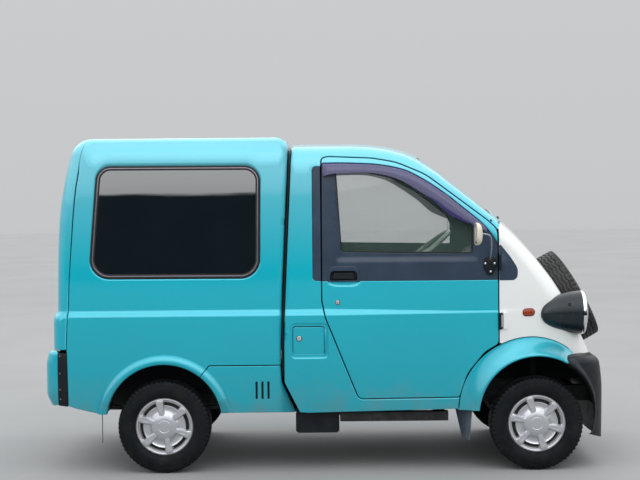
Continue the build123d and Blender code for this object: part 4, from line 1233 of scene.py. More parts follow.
lid_extra = np.vstack([cabw.uv(sideR.xyz(shift(ccw(LID_ZONE), d))) for d in (-1.5, 1.2, 4.6)])
lid_cut_uv = cabw.uv(sideR.xyz(LID_CUT))
panel("cab_body", cabw, cab_outer, [ws_hole, lid_cut_uv], [TEAL, TRIM, GAP], "chassis", us=ul, vs=vl, edges=[2.6, 6, 1.6], edge_mat=2, depth=26, level=cab_level, extra=lid_extra,
      replaces=("cab_shell",), slot="teal_paint")
hp = []
panel("", sideR, shift(ccw(INSERT), 0.4), [], heap=hp, step=14, edge=2.0, depth=16, level=-3.5, mirror=True)
put_parts("pillar_inserts", hp, [NAVY, NAVY], "chassis")

# windscreen: glass, black border, rubber
ws_in = [cabw.uv(WS.xyz(shift(ccw(ws_poly), d))) for d in (1.0, 12.0, 12.5)]
panel("windscreen_rubber", cabw, ws_in[0], [ws_in[1]], [SEAL, SEAL], "chassis", step=20, edge=2.5, depth=10, level=-3)
panel("windscreen_glass", cabw, ws_in[2], [], [GLASS, GLASS], "chassis", step=30, edge=1.0, depth=4.5, level=-6, replaces=("windscreen",), slot="clear_glass")

# cab rear wall with its window
cab_plate = Plate((-224.0, 0, 447), (0, 1, 0), (0.0373, 0, 1), (-1, 0, 0.0373))
rwin = rows_to_poly([(-400, 673, 40), (400, 673, 40), (380, 1023, 40), (-380, 1023, 40)])
panel("cab_rear_wall", cab_plate, bulkhead(cab_plate, cabw, -150, 450, 26), [rwin], [TEAL, TRIM], "chassis", step=45, edge=2, depth=10)
panel("cab_rear_window", cab_plate, shift(ccw(rwin), 0.5), [], [GLASS, GLASS], "chassis", step=60, edge=1, depth=4, level=-4)

# dark seal-coloured strip deep in the gap between cab and load box, standing in for the shade in the gap
gm = 100
arc = abs(cabw.uv(sideR.xyz(np.array([[-150.0, 450.0]])))[0, 1])
gP = cabw.xyz(np.column_stack([np.full(gm, -150.0), np.linspace(-arc, arc, gm)]), -34.0)
gP[:, 0] = -240.5 + 45 * np.clip((gP[:, 2] - 700) / 940, 0, 2)
v, f = tube(gP, 7.5, 10)
gh_ = Heap().add(v, f)
gh_.put("cab_box_gap_shade_strip", [SEAL], "chassis", sharp=60)

# ------------------------------------------------------------------ doors
BAND_Z = 941.0
band_bottom = lambda x: np.full_like(np.asarray(x, float), BAND_Z)
door_in = shift(door, GAPH)
win_side = rows_to_poly(WINDOW_ROWS, 7.0)
lower_skin = above(door_in, band_bottom, -1)
upper_all = above(door_in, band_bottom, 1)
upper_strip = above(upper_all, visor_top, 1)
band_zone = above(upper_all, visor_top, -1)
RECESS = rows_to_poly([(18, 1030, 26), (730, 1030, 26), (735, 1190, 30), (690, 1262, 30), (500, 1410, 200), (350, 1492, 240), (215, 1523, 300), (16, 1530, 14)], 7.0)


def band_level(q):
    d = inner_distance(RECESS, q)
    t = np.clip(d / 32.0, 0, 1)
    return -4.0 - 9.0 * t * t * (3 - 2 * t)


def lower_level(q):
    """A shallow finger scoop in the paint under the handle."""
    u = (q[:, 0] - 64) / 78
    w = (q[:, 1] - 941) / 24
    t = np.clip(1.15 - np.sqrt(u ** 4 + w ** 2 + 1e-9), 0, 0.4) / 0.4
    return -6.0 * t * t * (3 - 2 * t)


hole_h = rows_to_poly([(-9, 944, 7), (132, 944, 7), (124, 991, 17), (1, 991, 17)], 5.0)
zl = [z for z in Z_LINES if z < 941] + [912, 916, 920, 924, 928, 932]
parts = []
panel("", sideR, lower_skin, [], heap=parts, us=list(np.arange(-44, 830, 13)), vs=sorted(zl), edge=3.2, depth=28, level=lower_level, edge_mat=2)
panel("", sideR, upper_strip, [], heap=parts, step=9, edge=2.4, depth=28, edge_mat=2)
both("door_skin", parts, [TEAL, TRIM, GAP], "right_door", "left_door", replaces=["door"], slot="teal_paint")
parts = []
panel("", sideR, shift(band_zone, 0.3), [win_side, hole_h], heap=parts, step=11, edges=[1.6, 3.0, 2.0], depth=28, level=band_level,
      vs=sorted(list(np.arange(948, 1028, 12)) + list(np.arange(1028, 1070, 6)) + list(np.arange(1072, 1530, 12))))
both("door_band", parts, [NAVY, TRIM], "right_door", "left_door")
parts = []
panel("", sideR, shift(ccw(win_side), 0.4), [shift(ccw(win_side), 7.0)], heap=parts, step=14, edge=2.0, depth=12, level=-15)
both("window_seal", parts, [SEAL, SEAL], "right_door", "left_door")
parts = []
panel("", sideR, shift(ccw(win_side), 6.0), [], heap=parts, step=30, edge=0.8, depth=3.6, level=-22)
both("window_glass", parts, [GLASS, GLASS], "right_door", "left_door", replaces=["door_glass"], slot="clear_glass")

# smoked wind deflector over the window
n = 120
xs = np.linspace(-36, 768, n)
zt, zb = visor_top(xs) - 2.0, visor_low(xs)
zb = np.minimum(zb, zt - 6)
ws_ = np.linspace(0, 1, 9)
prof = [-2.0, 7.0, 13.0, 17.0, 19.5, 21.0, 22.0, 22.6, 23.0]
rows_o, rows_i = [], []
for w, lv in zip(ws_, prof):
    e = np.clip(np.minimum(xs + 36, 768 - xs) / 16, 0.15, 1) ** 0.5
    q = np.column_stack([xs, zt + (zb - zt) * w])
    rows_o.append(sideR.xyz(q, lv * e))
    rows_i.append(sideR.xyz(q, lv * e - 2.4))
O = np.array(rows_o)
I = np.array(rows_i)
m = len(ws_)
V = np.vstack([O.reshape(-1, 3), I.reshape(-1, 3)])
F = []
for a in range(m - 1):
    for b_ in range(n - 1):
        p, q, r, t = a * n + b_, a * n + b_ + 1, (a + 1) * n + b_ + 1, (a + 1) * n + b_
        F.append([p, q, r, t])
        F.append([p + m * n, t + m * n, r + m * n, q + m * n])
for b_ in range(n - 1):
    F.append([b_, b_ + m * n, b_ + 1 + m * n, b_ + 1])
    p = (m - 1) * n + b_
    F.append([p, p + 1, p + 1 + m * n, p + m * n])
for a in range(m - 1):
    p, q = a * n, (a + 1) * n
    F.append([p, q, q + m * n, p + m * n])
    p, q = a * n + n - 1, (a + 1) * n + n - 1
    F.append([p, p + m * n, q + m * n, q])
F = [f[::-1] for f in F]
put("right_visor", V, F, SMOKE, "right_door", sharp=40)
put("left_visor", V * [1, -1, 1], [f[::-1] for f in F], SMOKE, "left_door", sharp=40)

# handle
parts = []
rim = rows_to_poly([(-19, 938, 8), (146, 938, 8), (133, 1015, 28), (-5, 1015, 28)], 5.0)
panel("", sideR, rim, [hole_h], heap=parts, step=12, edges=[4.5, 3.5], depth=9, level=2.0)
both("handle_surround", parts, [NAVY, NAVY], "right_door", "left_door")
parts = []
panel("", sideR, shift(ccw(hole_h), 0.4), [], heap=parts, step=14, edge=2.0, depth=4, level=-20)
panel("", sideR, rows_to_poly([(6, 950, 7), (117, 950, 7), (111, 983, 11), (13, 983, 11)], 5.0), [], heap=parts, step=12, edge=4.0, depth=9, level=-3)
both("handle_paddle", parts, [BLACK, BLACK], "right_door", "left_door")


def lock(heap, x, z, r=10.5, skin=None):
    p = (skin or sideR).xyz(np.array([[x, z]]))[0]
    v, f = lathe(p, (0, -1, 0), [(-3, 0), (-3, r + 2.5), (1.2, r + 2.2), (2.0, r + 0.6), (2.0, r - 0.4)], 36)
    heap.add(v, f, 1)
    v, f = lathe(p, (0, -1, 0), [(1.0, r - 0.4), (3.4, r - 0.8), (4.2, r - 2.2), (4.0, r - 4.5), (3.2, r - 5.2), (3.2, 0)], 36)
    heap.add(v, f, 0)
    v, f = round_box(p[0] - 0.9, p[0] + 0.9, p[1] - 3.9, p[1] - 2.6, p[2] - 3.6, p[2] + 3.6, 0.3, 1)
    heap.add(v, f, 2)


h = Heap()
lock(h, 32, 837)
h.put("right_door_lock", [CHROME, SEAL, BLACK], "right_door", sharp=35)
h2 = Heap()
h2.add(np.vstack(h.v) * [1, -1, 1], [f[::-1] for f in h.f])
h2.m = list(h.m)
h2.put("left_door_lock", [CHROME, SEAL, BLACK], "left_door", sharp=35)

# near-black sheets behind the seams round the front wheel arches, standing in for the shade seen through the seams
rg = dense(np.vstack([arch_points((980.0, 300.0), 392, 55, 179, 10), arch_points((980.0, 300.0), 336, 179, 55, 10)]), 10)
parts = []
panel("", sideR, ccw(tidy(rg, 3.0)), [], heap=parts, step=24, edge=1.5, depth=3, level=-44.0, mirror=True)
put_parts("arch_seam_shade_sheets", parts, [GAP, GAP], "chassis")
# a near-black sheet behind each door's rear gap, standing in for the shade seen through it
parts = []
panel("", sideR, rows_to_poly([(-98, 930, 6), (-24, 930, 6), (-24, 1522, 6), (-98, 1522, 6)]), [], heap=parts, step=30, edge=1.5, depth=4, level=-42.0, mirror=True)
put_parts("b_pillar_gap_shade_sheets", parts, [GAP, GAP], "chassis")

# ------------------------------------------------------------------ nose
NOSE = Nose(f_cab, 700.0, 1.0)
SPARE_C, SPARE_AX = np.array([1260.0, 0.0, 801.0]), np.array([0.8746, 0.0, 0.4848])
SPARE_DOWN = np.array([0.4848, 0.0, -0.8746])
SPARE_RAYS = Rays(f_cab, SPARE_C, (0, 1, 0), SPARE_DOWN, -SPARE_AX, 500, 900)
cy = np.linspace(-549, 549, 110)
P_top = TOP_CAB.xyz(np.column_stack([np.sqrt((2000 + COWL + 5.5) ** 2 - cy ** 2) - 2000 - 6 * (np.abs(cy) / 548) ** 6, cy]))
nz = np.concatenate([[1216, 1208], np.linspace(1196, 630, 60)])
P_right = sideR.xyz(np.column_stack([np.interp(nz, [626, 1196, 1208, 1216], [829, 829.5, 835, 842]), nz]))
fl_arc = arch_points((980.0, 300.0), 355.5, 114.6, 53.4, 8)
P_arc = sideR.xyz(fl_arc)
low_arc = np.linspace(NOSE.uv(P_arc)[-1, 0], 0, 60)
P_low = NOSE.xyz(np.column_stack([low_arc, np.interp(np.linspace(0, 1, 60), [0, 0.04, 1], [P_arc[-1, 2], 512, 505])]))
half = np.vstack([P_right, P_arc[1:], P_low[1:]])
uvh = NOSE.uv(half)
top_uv = NOSE.uv(P_top)
nose_outer = tidy(np.vstack([uvh, (uvh * [-1, 1])[::-1], top_uv[::-1][1:-1]]), 2.5)
th = np.linspace(0, 2 * math.pi, 121)[:-1]
CUPV = 266.0
cup_hole = NOSE.uv(SPARE_RAYS.xyz(np.column_stack([CUPV * np.cos(th), CUPV * np.sin(th)])))


def nose_level(q):
    P = NOSE.xyz(q, np.zeros(len(q)))
    side = np.abs(P[:, 1]) > 470
    up = 6.5 * np.exp(-(((P[:, 0] - 858) / 15) ** 2 + ((P[:, 2] - 738) / 40) ** 2))
    return np.where(side, up, 0.0)


panel("nose_skin", NOSE, nose_outer, [cup_hole], [WHITE, TRIM, GAP], "chassis", step=14, edges=[3.0, 7], edge_mat=2, depth=16, level=nose_level, replaces=("nose_panel",), slot="white_paint")

# round cup pressed into the nose for the spare wheel
cup_rows = []
v_cup, f_cup = [], []
rim = SPARE_RAYS.xyz(np.column_stack([(CUPV - 1) * np.cos(th), (CUPV - 1) * np.sin(th)]), -7.0)
h_rim = (rim - SPARE_C) @ SPARE_AX
radial = np.outer(np.cos(th), [0, 1, 0]) + np.outer(np.sin(th), SPARE_DOWN)
rings = [rim]
for k, (w, r) in enumerate(((0.35, CUPV - 3), (0.7, CUPV - 5), (0.9, CUPV - 9), (0.97, CUPV - 16), (1.0, CUPV - 26))):
    h = h_rim + (-84.0 - h_rim) * w
    rings.append(SPARE_C + SPARE_AX * h[:, None] + radial * r)
for r, h in ((180, -84), (150, -84), (140, -78), (90, -74), (60, -74), (20, -74)):
    rings.append(SPARE_C + SPARE_AX * h + radial * r)
V = np.vstack(rings + [[SPARE_C + SPARE_AX * -74]])
n = len(th)
F = [[a * n + i, a * n + (i + 1) % n, (a + 1) * n + (i + 1) % n, (a + 1) * n + i] for a in range(len(rings) - 1) for i in range(n)]
F += [[(len(rings) - 1) * n + i, (len(rings) - 1) * n + (i + 1) % n, len(V) - 1] for i in range(n)]
inward = np.cross(V[F[0][1]] - V[F[0][0]], V[F[0][2]] - V[F[0][0]]) @ (SPARE_C - V[F[0][0]])
if inward < 0:
    F = [f[::-1] for f in F]
back = np.vstack([r - SPARE_AX * 9 + (radial * 5 if k < 6 else 0) for k, r in enumerate(rings)] + [[SPARE_C + SPARE_AX * -83]])
nb = len(V)
F2 = [[i + nb for i in f[::-1]] for f in F]
Fr = [[i, (i + 1) % n, (i + 1) % n + nb, i + nb] for i in range(n)]
if inward >= 0:
    Fr = [f[::-1] for f in Fr]
put("nose_bowl", np.vstack([V, back]), F + F2 + Fr, [WHITE], "chassis", sharp=50, replaces=("nose_cup",), slot="white_paint")

# dark triangle ahead of the door band, domed over the hinge
TRI = rows_to_poly([(829.5, 1124, 5), (860, 1086, 60), (893, 1044, 80), (924, 996, 60), (922, 938, 32), (829.5, 939, 4)], 6.0)


def tri_level(q):
    return 2.2 + 9.5 * np.exp(-(((q[:, 0] - 846) / 18) ** 2 + ((q[:, 1] - 1021) / 36) ** 2)) + 2.0 * np.clip(inner_distance(TRI, q) / 30, 0, 1)


tp = []
panel("", sideR, TRI, [], heap=tp, step=8, edge=2.6, depth=6, level=tri_level, mirror=True)
put_parts("fender_inserts", tp, [NAVY, NAVY], "chassis")

# side repeaters on the nose
SIDE_MARK = rows_to_poly([(948, 759, 16.5), (1009, 759, 16.5), (1009, 794, 16.5), (948, 794, 16.5)], 4.0)
mp = []
panel("", sideR, SIDE_MARK, [], heap=mp, step=8, edge=5.5, depth=3, level=6.0, mirror=True)
put_parts("side_markers", mp, [AMBER, AMBER], "chassis")
mp = []
panel("", sideR, shift(ccw(SIDE_MARK), -2.2), [shift(ccw(SIDE_MARK), 1.0)], heap=mp, step=8, edge=1.0, depth=3, level=1.2, mirror=True)
put_parts("side_marker_seals", mp, [SEAL, SEAL], "chassis")

# low mouldings beside the lower door hinges
mp = []
panel("", sideR, rows_to_poly([(845, 694, 12), (870, 694, 12), (870, 784, 12), (845, 784, 12)], 4.0), [], heap=mp, step=8, edge=5.5, depth=3, level=5.5, mirror=True)
put_parts("hinge_mouldings", mp, [WHITE, WHITE], "chassis")

# ------------------------------------------------------------------ headlights
POD_H, LENS_H, CHROME_H = Heap(), Heap(), Heap()
BLACK_H = Heap()
for s in (-1, 1):
    o = np.array([0.0, s * 430.0, 763.0])
    xs = 1055 + 219 * (1 - np.cos(np.linspace(0, math.pi / 2, 24)))
    rr = 108.0 * np.sqrt(np.clip(1 - ((1274 - xs) / 219) ** 2.0, 0, 1))
    rows = [(x, r) for x, r in zip(xs, rr)] + [(1275, 107.0), (1275, 96), (1250, 92)]
    rows[0] = (1055, 0)
    v, f = lathe(o, (1, 0, 0), rows, 72)
    v[:, 1] += s * 102 * np.clip((1262 - v[:, 0]) / 207, 0, 1) ** 2
    POD_H.add(v, f, 0)
    v, f = lathe(o, (1, 0, 0), [(1271, 100), (1271, 109.0), (1273, 110.0), (1276, 110.2), (1281, 109.4), (1286, 107.2), (1289, 103.5), (1290.5, 99.5), (1290, 96), (1287, 94.5),
                                (1284, 94.5)], 96)
    CHROME_H.add(v, f, 0)
    v, f = lathe(o, (1, 0, 0), [(1286, 94.4), (1282, 92), (1270, 86), (1254, 74), (1236, 56), (1222, 36), (1216, 20), (1216, 0)][::-1], 72)
    CHROME_H.add(v, [q[::-1] for q in f], 1)
    v, f = lathe(o, (1, 0, 0), [(1215, 0), (1215, 12), (1222, 12), (1226, 9), (1252, 8), (1256, 0)], 24)
    CHROME_H.add(v, f, 0)
    lens = [(1286.0, 95.6), (1289.5, 93.5), (1294.5, 82), (1299.5, 68), (1303.6, 52), (1306.8, 34), (1308.6, 16), (1309, 0)]
    v, f = lathe(o, (1, 0, 0), lens, 72)
    LENS_H.add(v, f, 0)
    v, f = lathe(o, (1, 0, 0), [(x - 3.2, r * 0.985) for x, r in lens], 72)
    LENS_H.add(v, [q[::-1] for q in f], 0)
    # clip on the outer side, adjuster screw
    v, f = round_box(1268, 1286, -s * 0 + s * 430 + s * 107 - 5, s * 430 + s * 107 + 7, 756, 772, 2.5, 2)
    if s < 0:
        v, f = round_box(1268, 1286, -430 - 114, -430 - 102, 756, 772, 2.5, 2)
    BLACK_H.add(v, f, 0)
    dz = 48.0
    yy = s * (439 + math.sqrt(102.8 ** 2 - dz ** 2))
    axis = np.array([-0.12, s * math.sqrt(102.8 ** 2 - dz ** 2) / 102.8, dz / 102.8])
    v, f = lathe((1201, yy, 763 + dz), axis, [(-4, 0), (-4, 8.5), (1.6, 8.0), (2.4, 6.4), (0.8, 5.6), (0.8, 0)], 24)
    BLACK_H.add(v, f, 0)
for hp_l in (POD_H, CHROME_H, LENS_H, BLACK_H):
    for v in hp_l.v:
        v[:, 0] -= 14.0
POD_H.put("headlight_shells", [POD], "chassis", sharp=40, replaces=("headlight_pods",), slot="black_plastic")
CHROME_H.put("headlight_rims", [CHROME, CHROME], "chassis", sharp=40)
LENS_H.put("headlight_lenses", [LENS], "chassis", sharp=50, replaces=("headlights",), slot="lamp_glass")
BLACK_H.put("headlight_fittings", [BLACK], "chassis", sharp=40)

# ------------------------------------------------------------------ front bumper
BFAN = Fan(f_bumper, (900, 0, 230), 1.0)
BTOP = Rays(f_bumper, (0, 0, 1200), (1, 0, 0), (0, 1, 0), (0, 0, -1), 0, 900)
BSIDE = Side(f_bumper, -1)
BNOSE = Nose(f_bumper, 1150.0, 1.0)
AF = np.array(ARCH_FRONT)
ang = np.radians(np.linspace(-30.5, 60.6, 70))
b_arch = BSIDE.xyz(np.column_stack([AF[0] + 289 * np.cos(ang), AF[1] + 289 * np.sin(ang)]))
split = BSIDE.xyz(dense(np.array([AF + 289 * np.array([math.cos(math.radians(60.6)), math.sin(math.radians(60.6))]), (1172.0, 556.0)]), 7))
fa = np.linspace(0, -math.radians(80), 60) * 560
b_bot = BNOSE.xyz(np.column_stack([fa, np.interp(-fa / 560, [0, 0.5, 1.0, 1.2, 1.3, 1.4], [112, 113, 124, 142, 160, 180])]))
b_bot = b_bot[b_bot[:, 0] > 1266]
# inner edge of the ledge along the white nose, broken by the spare wheel's scoop
nose566 = NOSE.xyz(np.column_stack([np.linspace(-math.radians(66), 0, 90) * 560, np.full(90, 562.0)]))
ledge = []
for p in nose566:
    if p[0] < 1176 or abs(p[1]) < 1e-9 and False:
        continue
    d = p[:2] - np.array([700.0, 0.0])
    d /= np.linalg.norm(d)
    t = np.linspace(1.5, 120, 80)
    q = p[:2] + d * t[:, None]
    q = q[q[:, 0] < 1372]
    Q = BTOP.xyz(q)
    r = np.linalg.norm(np.cross(Q - SPARE_C, SPARE_AX), axis=1)
    bad = np.where(r < 263)[0]
    k = 0 if len(bad) == 0 else min(bad[-1] + 1, len(Q) - 1)
    ledge.append(Q[k])
ledge = np.array(ledge)
halfb = np.vstack([b_bot, b_arch[np.argmin(np.abs(b_arch[:, 2] - b_bot[-1, 2])):], split[1:], ledge])
uvb = BFAN.uv(halfb)
bumper_outer = tidy(np.vstack([uvb, (uvb * [-1, 1])[::-1]]), 2.5)
BFRONT = Rays(f_bumper, (1500, 0, 0), (0, 1, 0), (0, 0, 1), (-1, 0, 0), 0, 500)
grille = rows_to_poly([(-330, 395, 22), (330, 395, 22), (330, 455, 22), (-330, 455, 22)])
lamp_f = rows_to_poly([(-500, 392, 14), (-392, 392, 14), (-392, 452, 14), (-500, 452, 14)])
holes_b = [BFAN.uv(BFRONT.xyz(g)) for g in (grille, lamp_f, lamp_f * [-1, 1])]


def lip(q):
    P = BFAN.xyz(q, np.zeros(len(q)))
    r = np.hypot(P[:, 0] - AF[0], P[:, 2] - AF[1])
    a = np.degrees(np.arctan2(P[:, 2] - AF[1], P[:, 0] - AF[0]))
    ro = np.interp(a, [-40, 10, 20, 30, 40, 52, 58, 70], [302, 306, 314, 319, 323, 338, 344, 346])
    t = np.clip((ro - r) / (ro - 292), 0, 1)
    fade = np.interp(a, [-30, 0, 40, 61], [0.25, 0.5, 0.9, 1.0])
    side = np.clip((np.abs(P[:, 1]) - 380) / 80, 0, 1)
    return 19.0 * fade * side * t * t * (3 - 2 * t) - 12.0


panel("front_bumper_skin", BFAN, bumper_outer, holes_b, [BLACK, BLACK], "chassis", step=11, edge=4.0, depth=10, level=lip, replaces=("front_bumper",), slot="black_plastic")
gh = Heap()
for z in (406, 418, 430, 442):
    v, f = round_box(1344, 1356, -334, 334, z - 2.5, z + 2.5, 2.2, 1)
    gh.add(v, f, 0)
for y in np.linspace(-300, 300, 13):
    v, f = round_box(1338, 1349, y - 2, y + 2, 392, 458, 1.6, 1)
    gh.add(v, f, 0)
v, f = round_box(1318, 1326, -345, 345, 380, 470, 2, 1)
gh.add(v, f, 1)
gh.put("front_grille", [BLACK, SEAL], "chassis", sharp=40)
lp = []
panel("", BFAN, BFAN.uv(BFRONT.xyz(shift(ccw(lamp_f), 1.6))), [], heap=lp, step=14, edge=5, depth=10, level=-12, mirror=True)
put_parts("front_signal_lenses", lp, [AMBER, AMBER], "chassis", replaces=("signal_lamps",), slot="amber")
ph_ = Heap()
v, f = round_box(1364, 1368, -165, 165, 216, 381, 1.8, 2)
ph_.add(v, f, 0)
v, f = round_box(1350, 1365, -120, 120, 285, 315, 3, 1)
ph_.add(v, f, 1)
for y in (-105, 105):
    v, f = lathe((1367.5, y, 300), (1, 0, 0), [(0, 0), (0, 7), (2.5, 6.2), (3.6, 3.5), (3.9, 0)], 20)
    ph_.add(v, f, 2)
ph_.put("front_plate", [PLATE, BLACK, CHROME], "chassis", sharp=40)

# ------------------------------------------------------------------ wheel arch flares


def sweep(sections, closed=False, caps=True):
    """Joins rows of points, one row a section, into a shell."""
    S = np.array(sections)
    m, k = S.shape[:2]
    V = S.reshape(-1, 3)
    F = []
    for i in range(m - 1):
        for j in range(k):
            jj = (j + 1) % k
            if jj == 0 and not closed:
                continue
            F.append([i * k + j, i * k + jj, (i + 1) * k + jj, (i + 1) * k + j])
    if caps and closed:
        F.append(list(range(k)))
        F.append([(m - 1) * k + j for j in range(k - 1, -1, -1)])
    return V, F


def outward(V, F, ref):
    """Turns all faces so that the shell's outer side looks away from ref (a point inside the first quad's solid side)."""
    f = F[len(F) // 2]
    nrm = np.cross(V[f[1]] - V[f[0]], V[f[2]] - V[f[0]])
    return F if nrm @ (V[f[0]] - ref) > 0 else [q[::-1] for q in F]


def front_flare(a_list):
    """Fender section rising from the body in a hollow curve to a rounded lip at the wheel arch."""
    A = np.radians(np.asarray(a_list, float))
    c, s = np.cos(A)[:, None], np.sin(A)[:, None]
    dx, dz = 980.0 - AF[0], 300.0 - AF[1]
    bq = dx * c + dz * s
    ro = bq + np.sqrt(bq * bq - (dx * dx + dz * dz - 353.0 ** 2))
    t = np.array([0, 0.04, 0.1, 0.2, 0.3, 0.4, 0.5, 0.6, 0.7, 0.78, 0.85, 0.91, 0.96, 1.0])
    g = np.array([0, 0.012, 0.03, 0.075, 0.14, 0.22, 0.315, 0.43, 0.57, 0.70, 0.815, 0.905, 0.965, 1.0])
    r = ro + (297.0 - ro) * t
    X, Z = AF[0] + r * c, AF[1] + r * s
    base = sideR.xyz(np.column_stack([X.ravel(), Z.ravel()]))[:, 1].reshape(X.shape)
    y0 = base[:, :1]
    Y = np.minimum(y0 + (-647.0 - y0) * g, base - 0.8)
    tail_r = np.array([294.5, 292, 290.2, 289.2, 289, 289, 300.0])
    tail_y = np.array([-646.6, -645.2, -642.5, -639, -632, -600, -560.0])
    one = np.ones_like(c)
    X = np.hstack([X, AF[0] + tail_r * c, AF[0] + (ro - 4) * c, AF[0] + ro * c])
    Z = np.hstack([Z, AF[1] + tail_r * s, AF[1] + (ro - 4) * s, AF[1] + ro * s])
    Y = np.hstack([Y, tail_y * one, y0 + 16, y0 + 8])
    return np.stack([X, Y, Z], axis=2)


def rear_flare(a_list):
    A = np.radians(np.asarray(a_list, float))[:, None]
    fade = np.interp(np.degrees(A), [7.5, 20, 160, 172.5], [0.12, 1.0, 1.0, 0.55])
    rows = np.array([(332, 0), (330.5, 3), (328, 8), (324, 13.5), (319, 18.5), (313, 22.3), (307, 24.8), (300, 26), (294, 25.8), (289, 24.5), (286, 22), (284.4, 18.5),
                     (284, 14), (284, -20), (296, -26), (330, -14)], float)
    X = ARCH_REAR[0] + rows[:, 0] * np.cos(A)
    Z = ARCH_REAR[1] + rows[:, 0] * np.sin(A)
    y = boxR.xyz(np.column_stack([X.ravel(), Z.ravel()]))[:, 1].reshape(X.shape)
    h = np.where(np.arange(len(rows)) < 13, rows[:, 1] * fade + 0.4, rows[:, 1])
    return np.stack([X, y - h, Z], axis=2)


def clip_low(S, z):
    """Flattens a section's points that hang below z."""
    S = S.copy()
    S[..., 2] = np.maximum(S[..., 2], z)
    return S


fh = Heap()
S = clip_low(front_flare(np.linspace(55.8, 178.5, 115)), 301.0)
V, F = sweep(S, closed=True)
F = outward(V, F, S[55].mean(axis=0))
fh.add(V, F, 0)
for a0, a1 in ((51.7, 176.0), (7.6, 50.9)):
    S = clip_low(rear_flare(np.linspace(a0, a1, int((a1 - a0) / 1.1))), 297.0)
    V, F = sweep(S, closed=True)
    F = outward(V, F, S[len(S) // 2].mean(axis=0))
    fh.add(V, F, 0)
fh.mirrored()
fh.put("arch_flares", [TEAL], "chassis", sharp=52, replaces=("wheel_arch_flares",), slot="teal_paint")

# ------------------------------------------------------------------ skirts below the load box
sk = [(-240, 529), (-236, 470), (-233, 447), (-228, 436), (-166, 299)]
sk_arc = arch_points(ARCH_REAR, 287, 8.5, 50.5)
e51 = np.array([math.cos(math.radians(50.5)), math.sin(math.radians(50.5))])
sk_loop = np.vstack([dense(np.array(sk, float) - [11, 0], 8), dense(np.array([(-177.0, 298.0), (-543.0, 298.0)]), 12)[1:], sk_arc[1:],
                     [np.array(ARCH_REAR) + 334 * e51], dense(np.array([(-604.0, 529.0), (-251.0, 529.0)]), 9)])
slots = [rows_to_poly([(x0, 365, w / 2 - 0.3), (x0 + w, 365, w / 2 - 0.3), (x0 + w, 452, w / 2 - 0.3), (x0, 452, w / 2 - 0.3)], 2.5) for x0, w in ((-376, 10.5), (-347, 10.5), (-317.5, 10.5))]


class SlantedSide:
    """The load box's side, its rounded front edge led along the skirt's slanted one."""

    def __init__(self, base):
        self.base, self.f, self.s = base, base.f, base.s

    def xyz(self, uv, level=0.0):
        uv = np.asarray(uv, float)
        w = np.clip((uv[:, 0] + 340) / 60, 0, 1)
        d = (np.interp(uv[:, 1], [299, 436, 447, 470, 529], [-166, -228, -233, -236, -240]) + 240) * w * w * (3 - 2 * w)
        P = self.base.xyz(uv - np.column_stack([d, np.zeros(len(d))]), level)
        P[:, 0] += d
        return P

    def uv(self, P):
        return self.base.uv(P)


sp_ = []
panel("", SlantedSide(boxR), ccw(tidy(sk_loop, 2.0)), slots, heap=sp_, step=15, vs=sorted([z for z in Z_LINES if z < 530]), edges=[3.0, 1.6, 1.6, 1.6], depth=12, edge_mat=2, mirror=True)
put_parts("lower_skirts", sp_, [TEAL, TRIM, GAP], "chassis", replaces=("side_skirts",), slot="teal_paint")
sp_ = []
panel("", boxR, rows_to_poly([(-392, 350, 5), (-300, 350, 5), (-300, 468, 5), (-392, 468, 5)]), [], heap=sp_, step=30, edge=1, depth=2, level=-13.5, mirror=True)
put_parts("skirt_vent_backs", sp_, [SEAL, SEAL], "chassis")

# ------------------------------------------------------------------ rear bumper
RFAN = Fan(f_rear_bumper, (-1050, 0, 430), -1.0)
RSIDE = Side(f_rear_bumper, -1)
RTOP = Rays(f_rear_bumper, (0, 0, 1200), (1, 0, 0), (0, 1, 0), (0, 0, -1), 0, 900)
RBACK = Rays(f_rear_bumper, (-1700, 0, 0), (0, 1, 0), (0, 0, 1), (1, 0, 0), 0, 600)
r_side = RSIDE.xyz(np.column_stack([np.full(34, -1349.5), np.linspace(344, 604, 34)]))
ty = np.linspace(-600, 0, 60)
tx = np.interp(ty, [-600, -560, -480, 0], [-1352, -1376, -1390, -1395])
r_top = RTOP.xyz(np.column_stack([tx, ty]))
rbn = Nose(f_rear_bumper, -1200.0, -1.0)
ra = np.linspace(0, -math.radians(74), 70) * 560
r_bot = rbn.xyz(np.column_stack([ra, np.interp(-ra / 560, [0, 0.9, 1.3], [331, 331, 338])]))
r_bot = r_bot[r_bot[:, 0] < -1352]
halfr = np.vstack([r_bot, r_side, r_top])
uvr = RFAN.uv(halfr)
rear_outer = tidy(np.vstack([uvr, (uvr * [-1, 1])[::-1]]), 2.5)
lamp_r = rows_to_poly([(-556, 492, 14), (-424, 492, 14), (-424, 562, 14), (-556, 562, 14)])


def plate_dent(q):
    P = RFAN.xyz(q, np.zeros(len(q)))
    dy = np.clip((184 - np.abs(P[:, 1])) / 14, 0, 1)
    dz = np.clip((104 - np.abs(P[:, 2] - 462)) / 14, 0, 1)
    t = dy * dz
    return -12.0 * t * t * (3 - 2 * t)


rh = [RFAN.uv(RBACK.xyz(g)) for g in (lamp_r, lamp_r * [-1, 1])]
panel("rear_bumper_skin", RFAN, rear_outer, rh, [TEAL, TRIM], "chassis", step=12, edge=4.5, depth=10, level=plate_dent, replaces=("rear_bumper",), slot="teal_paint")
lp = []
panel("", RFAN, RFAN.uv(RBACK.xyz(shift(ccw(lamp_r), 1.6))), [], heap=lp, step=14, edge=4, depth=8, level=-2, mirror=True)
put_parts("rear_lamps", lp, [RED, RED], "chassis")
ph_ = Heap()
v, f = round_box(-1419, -1415.5, -165, 165, 379, 545, 1.6, 2)
ph_.add(v, f, 0)
for y in (-105, 105):
    v, f = lathe((-1418.6, y, 470), (-1, 0, 0), [(0, 0), (0, 6.5), (1.4, 5.8), (2.2, 3.5), (2.5, 0)], 20)
    ph_.add(v, f, 1)
ph_.put("rear_plate", [PLATE, CHROME], "chassis", sharp=40)
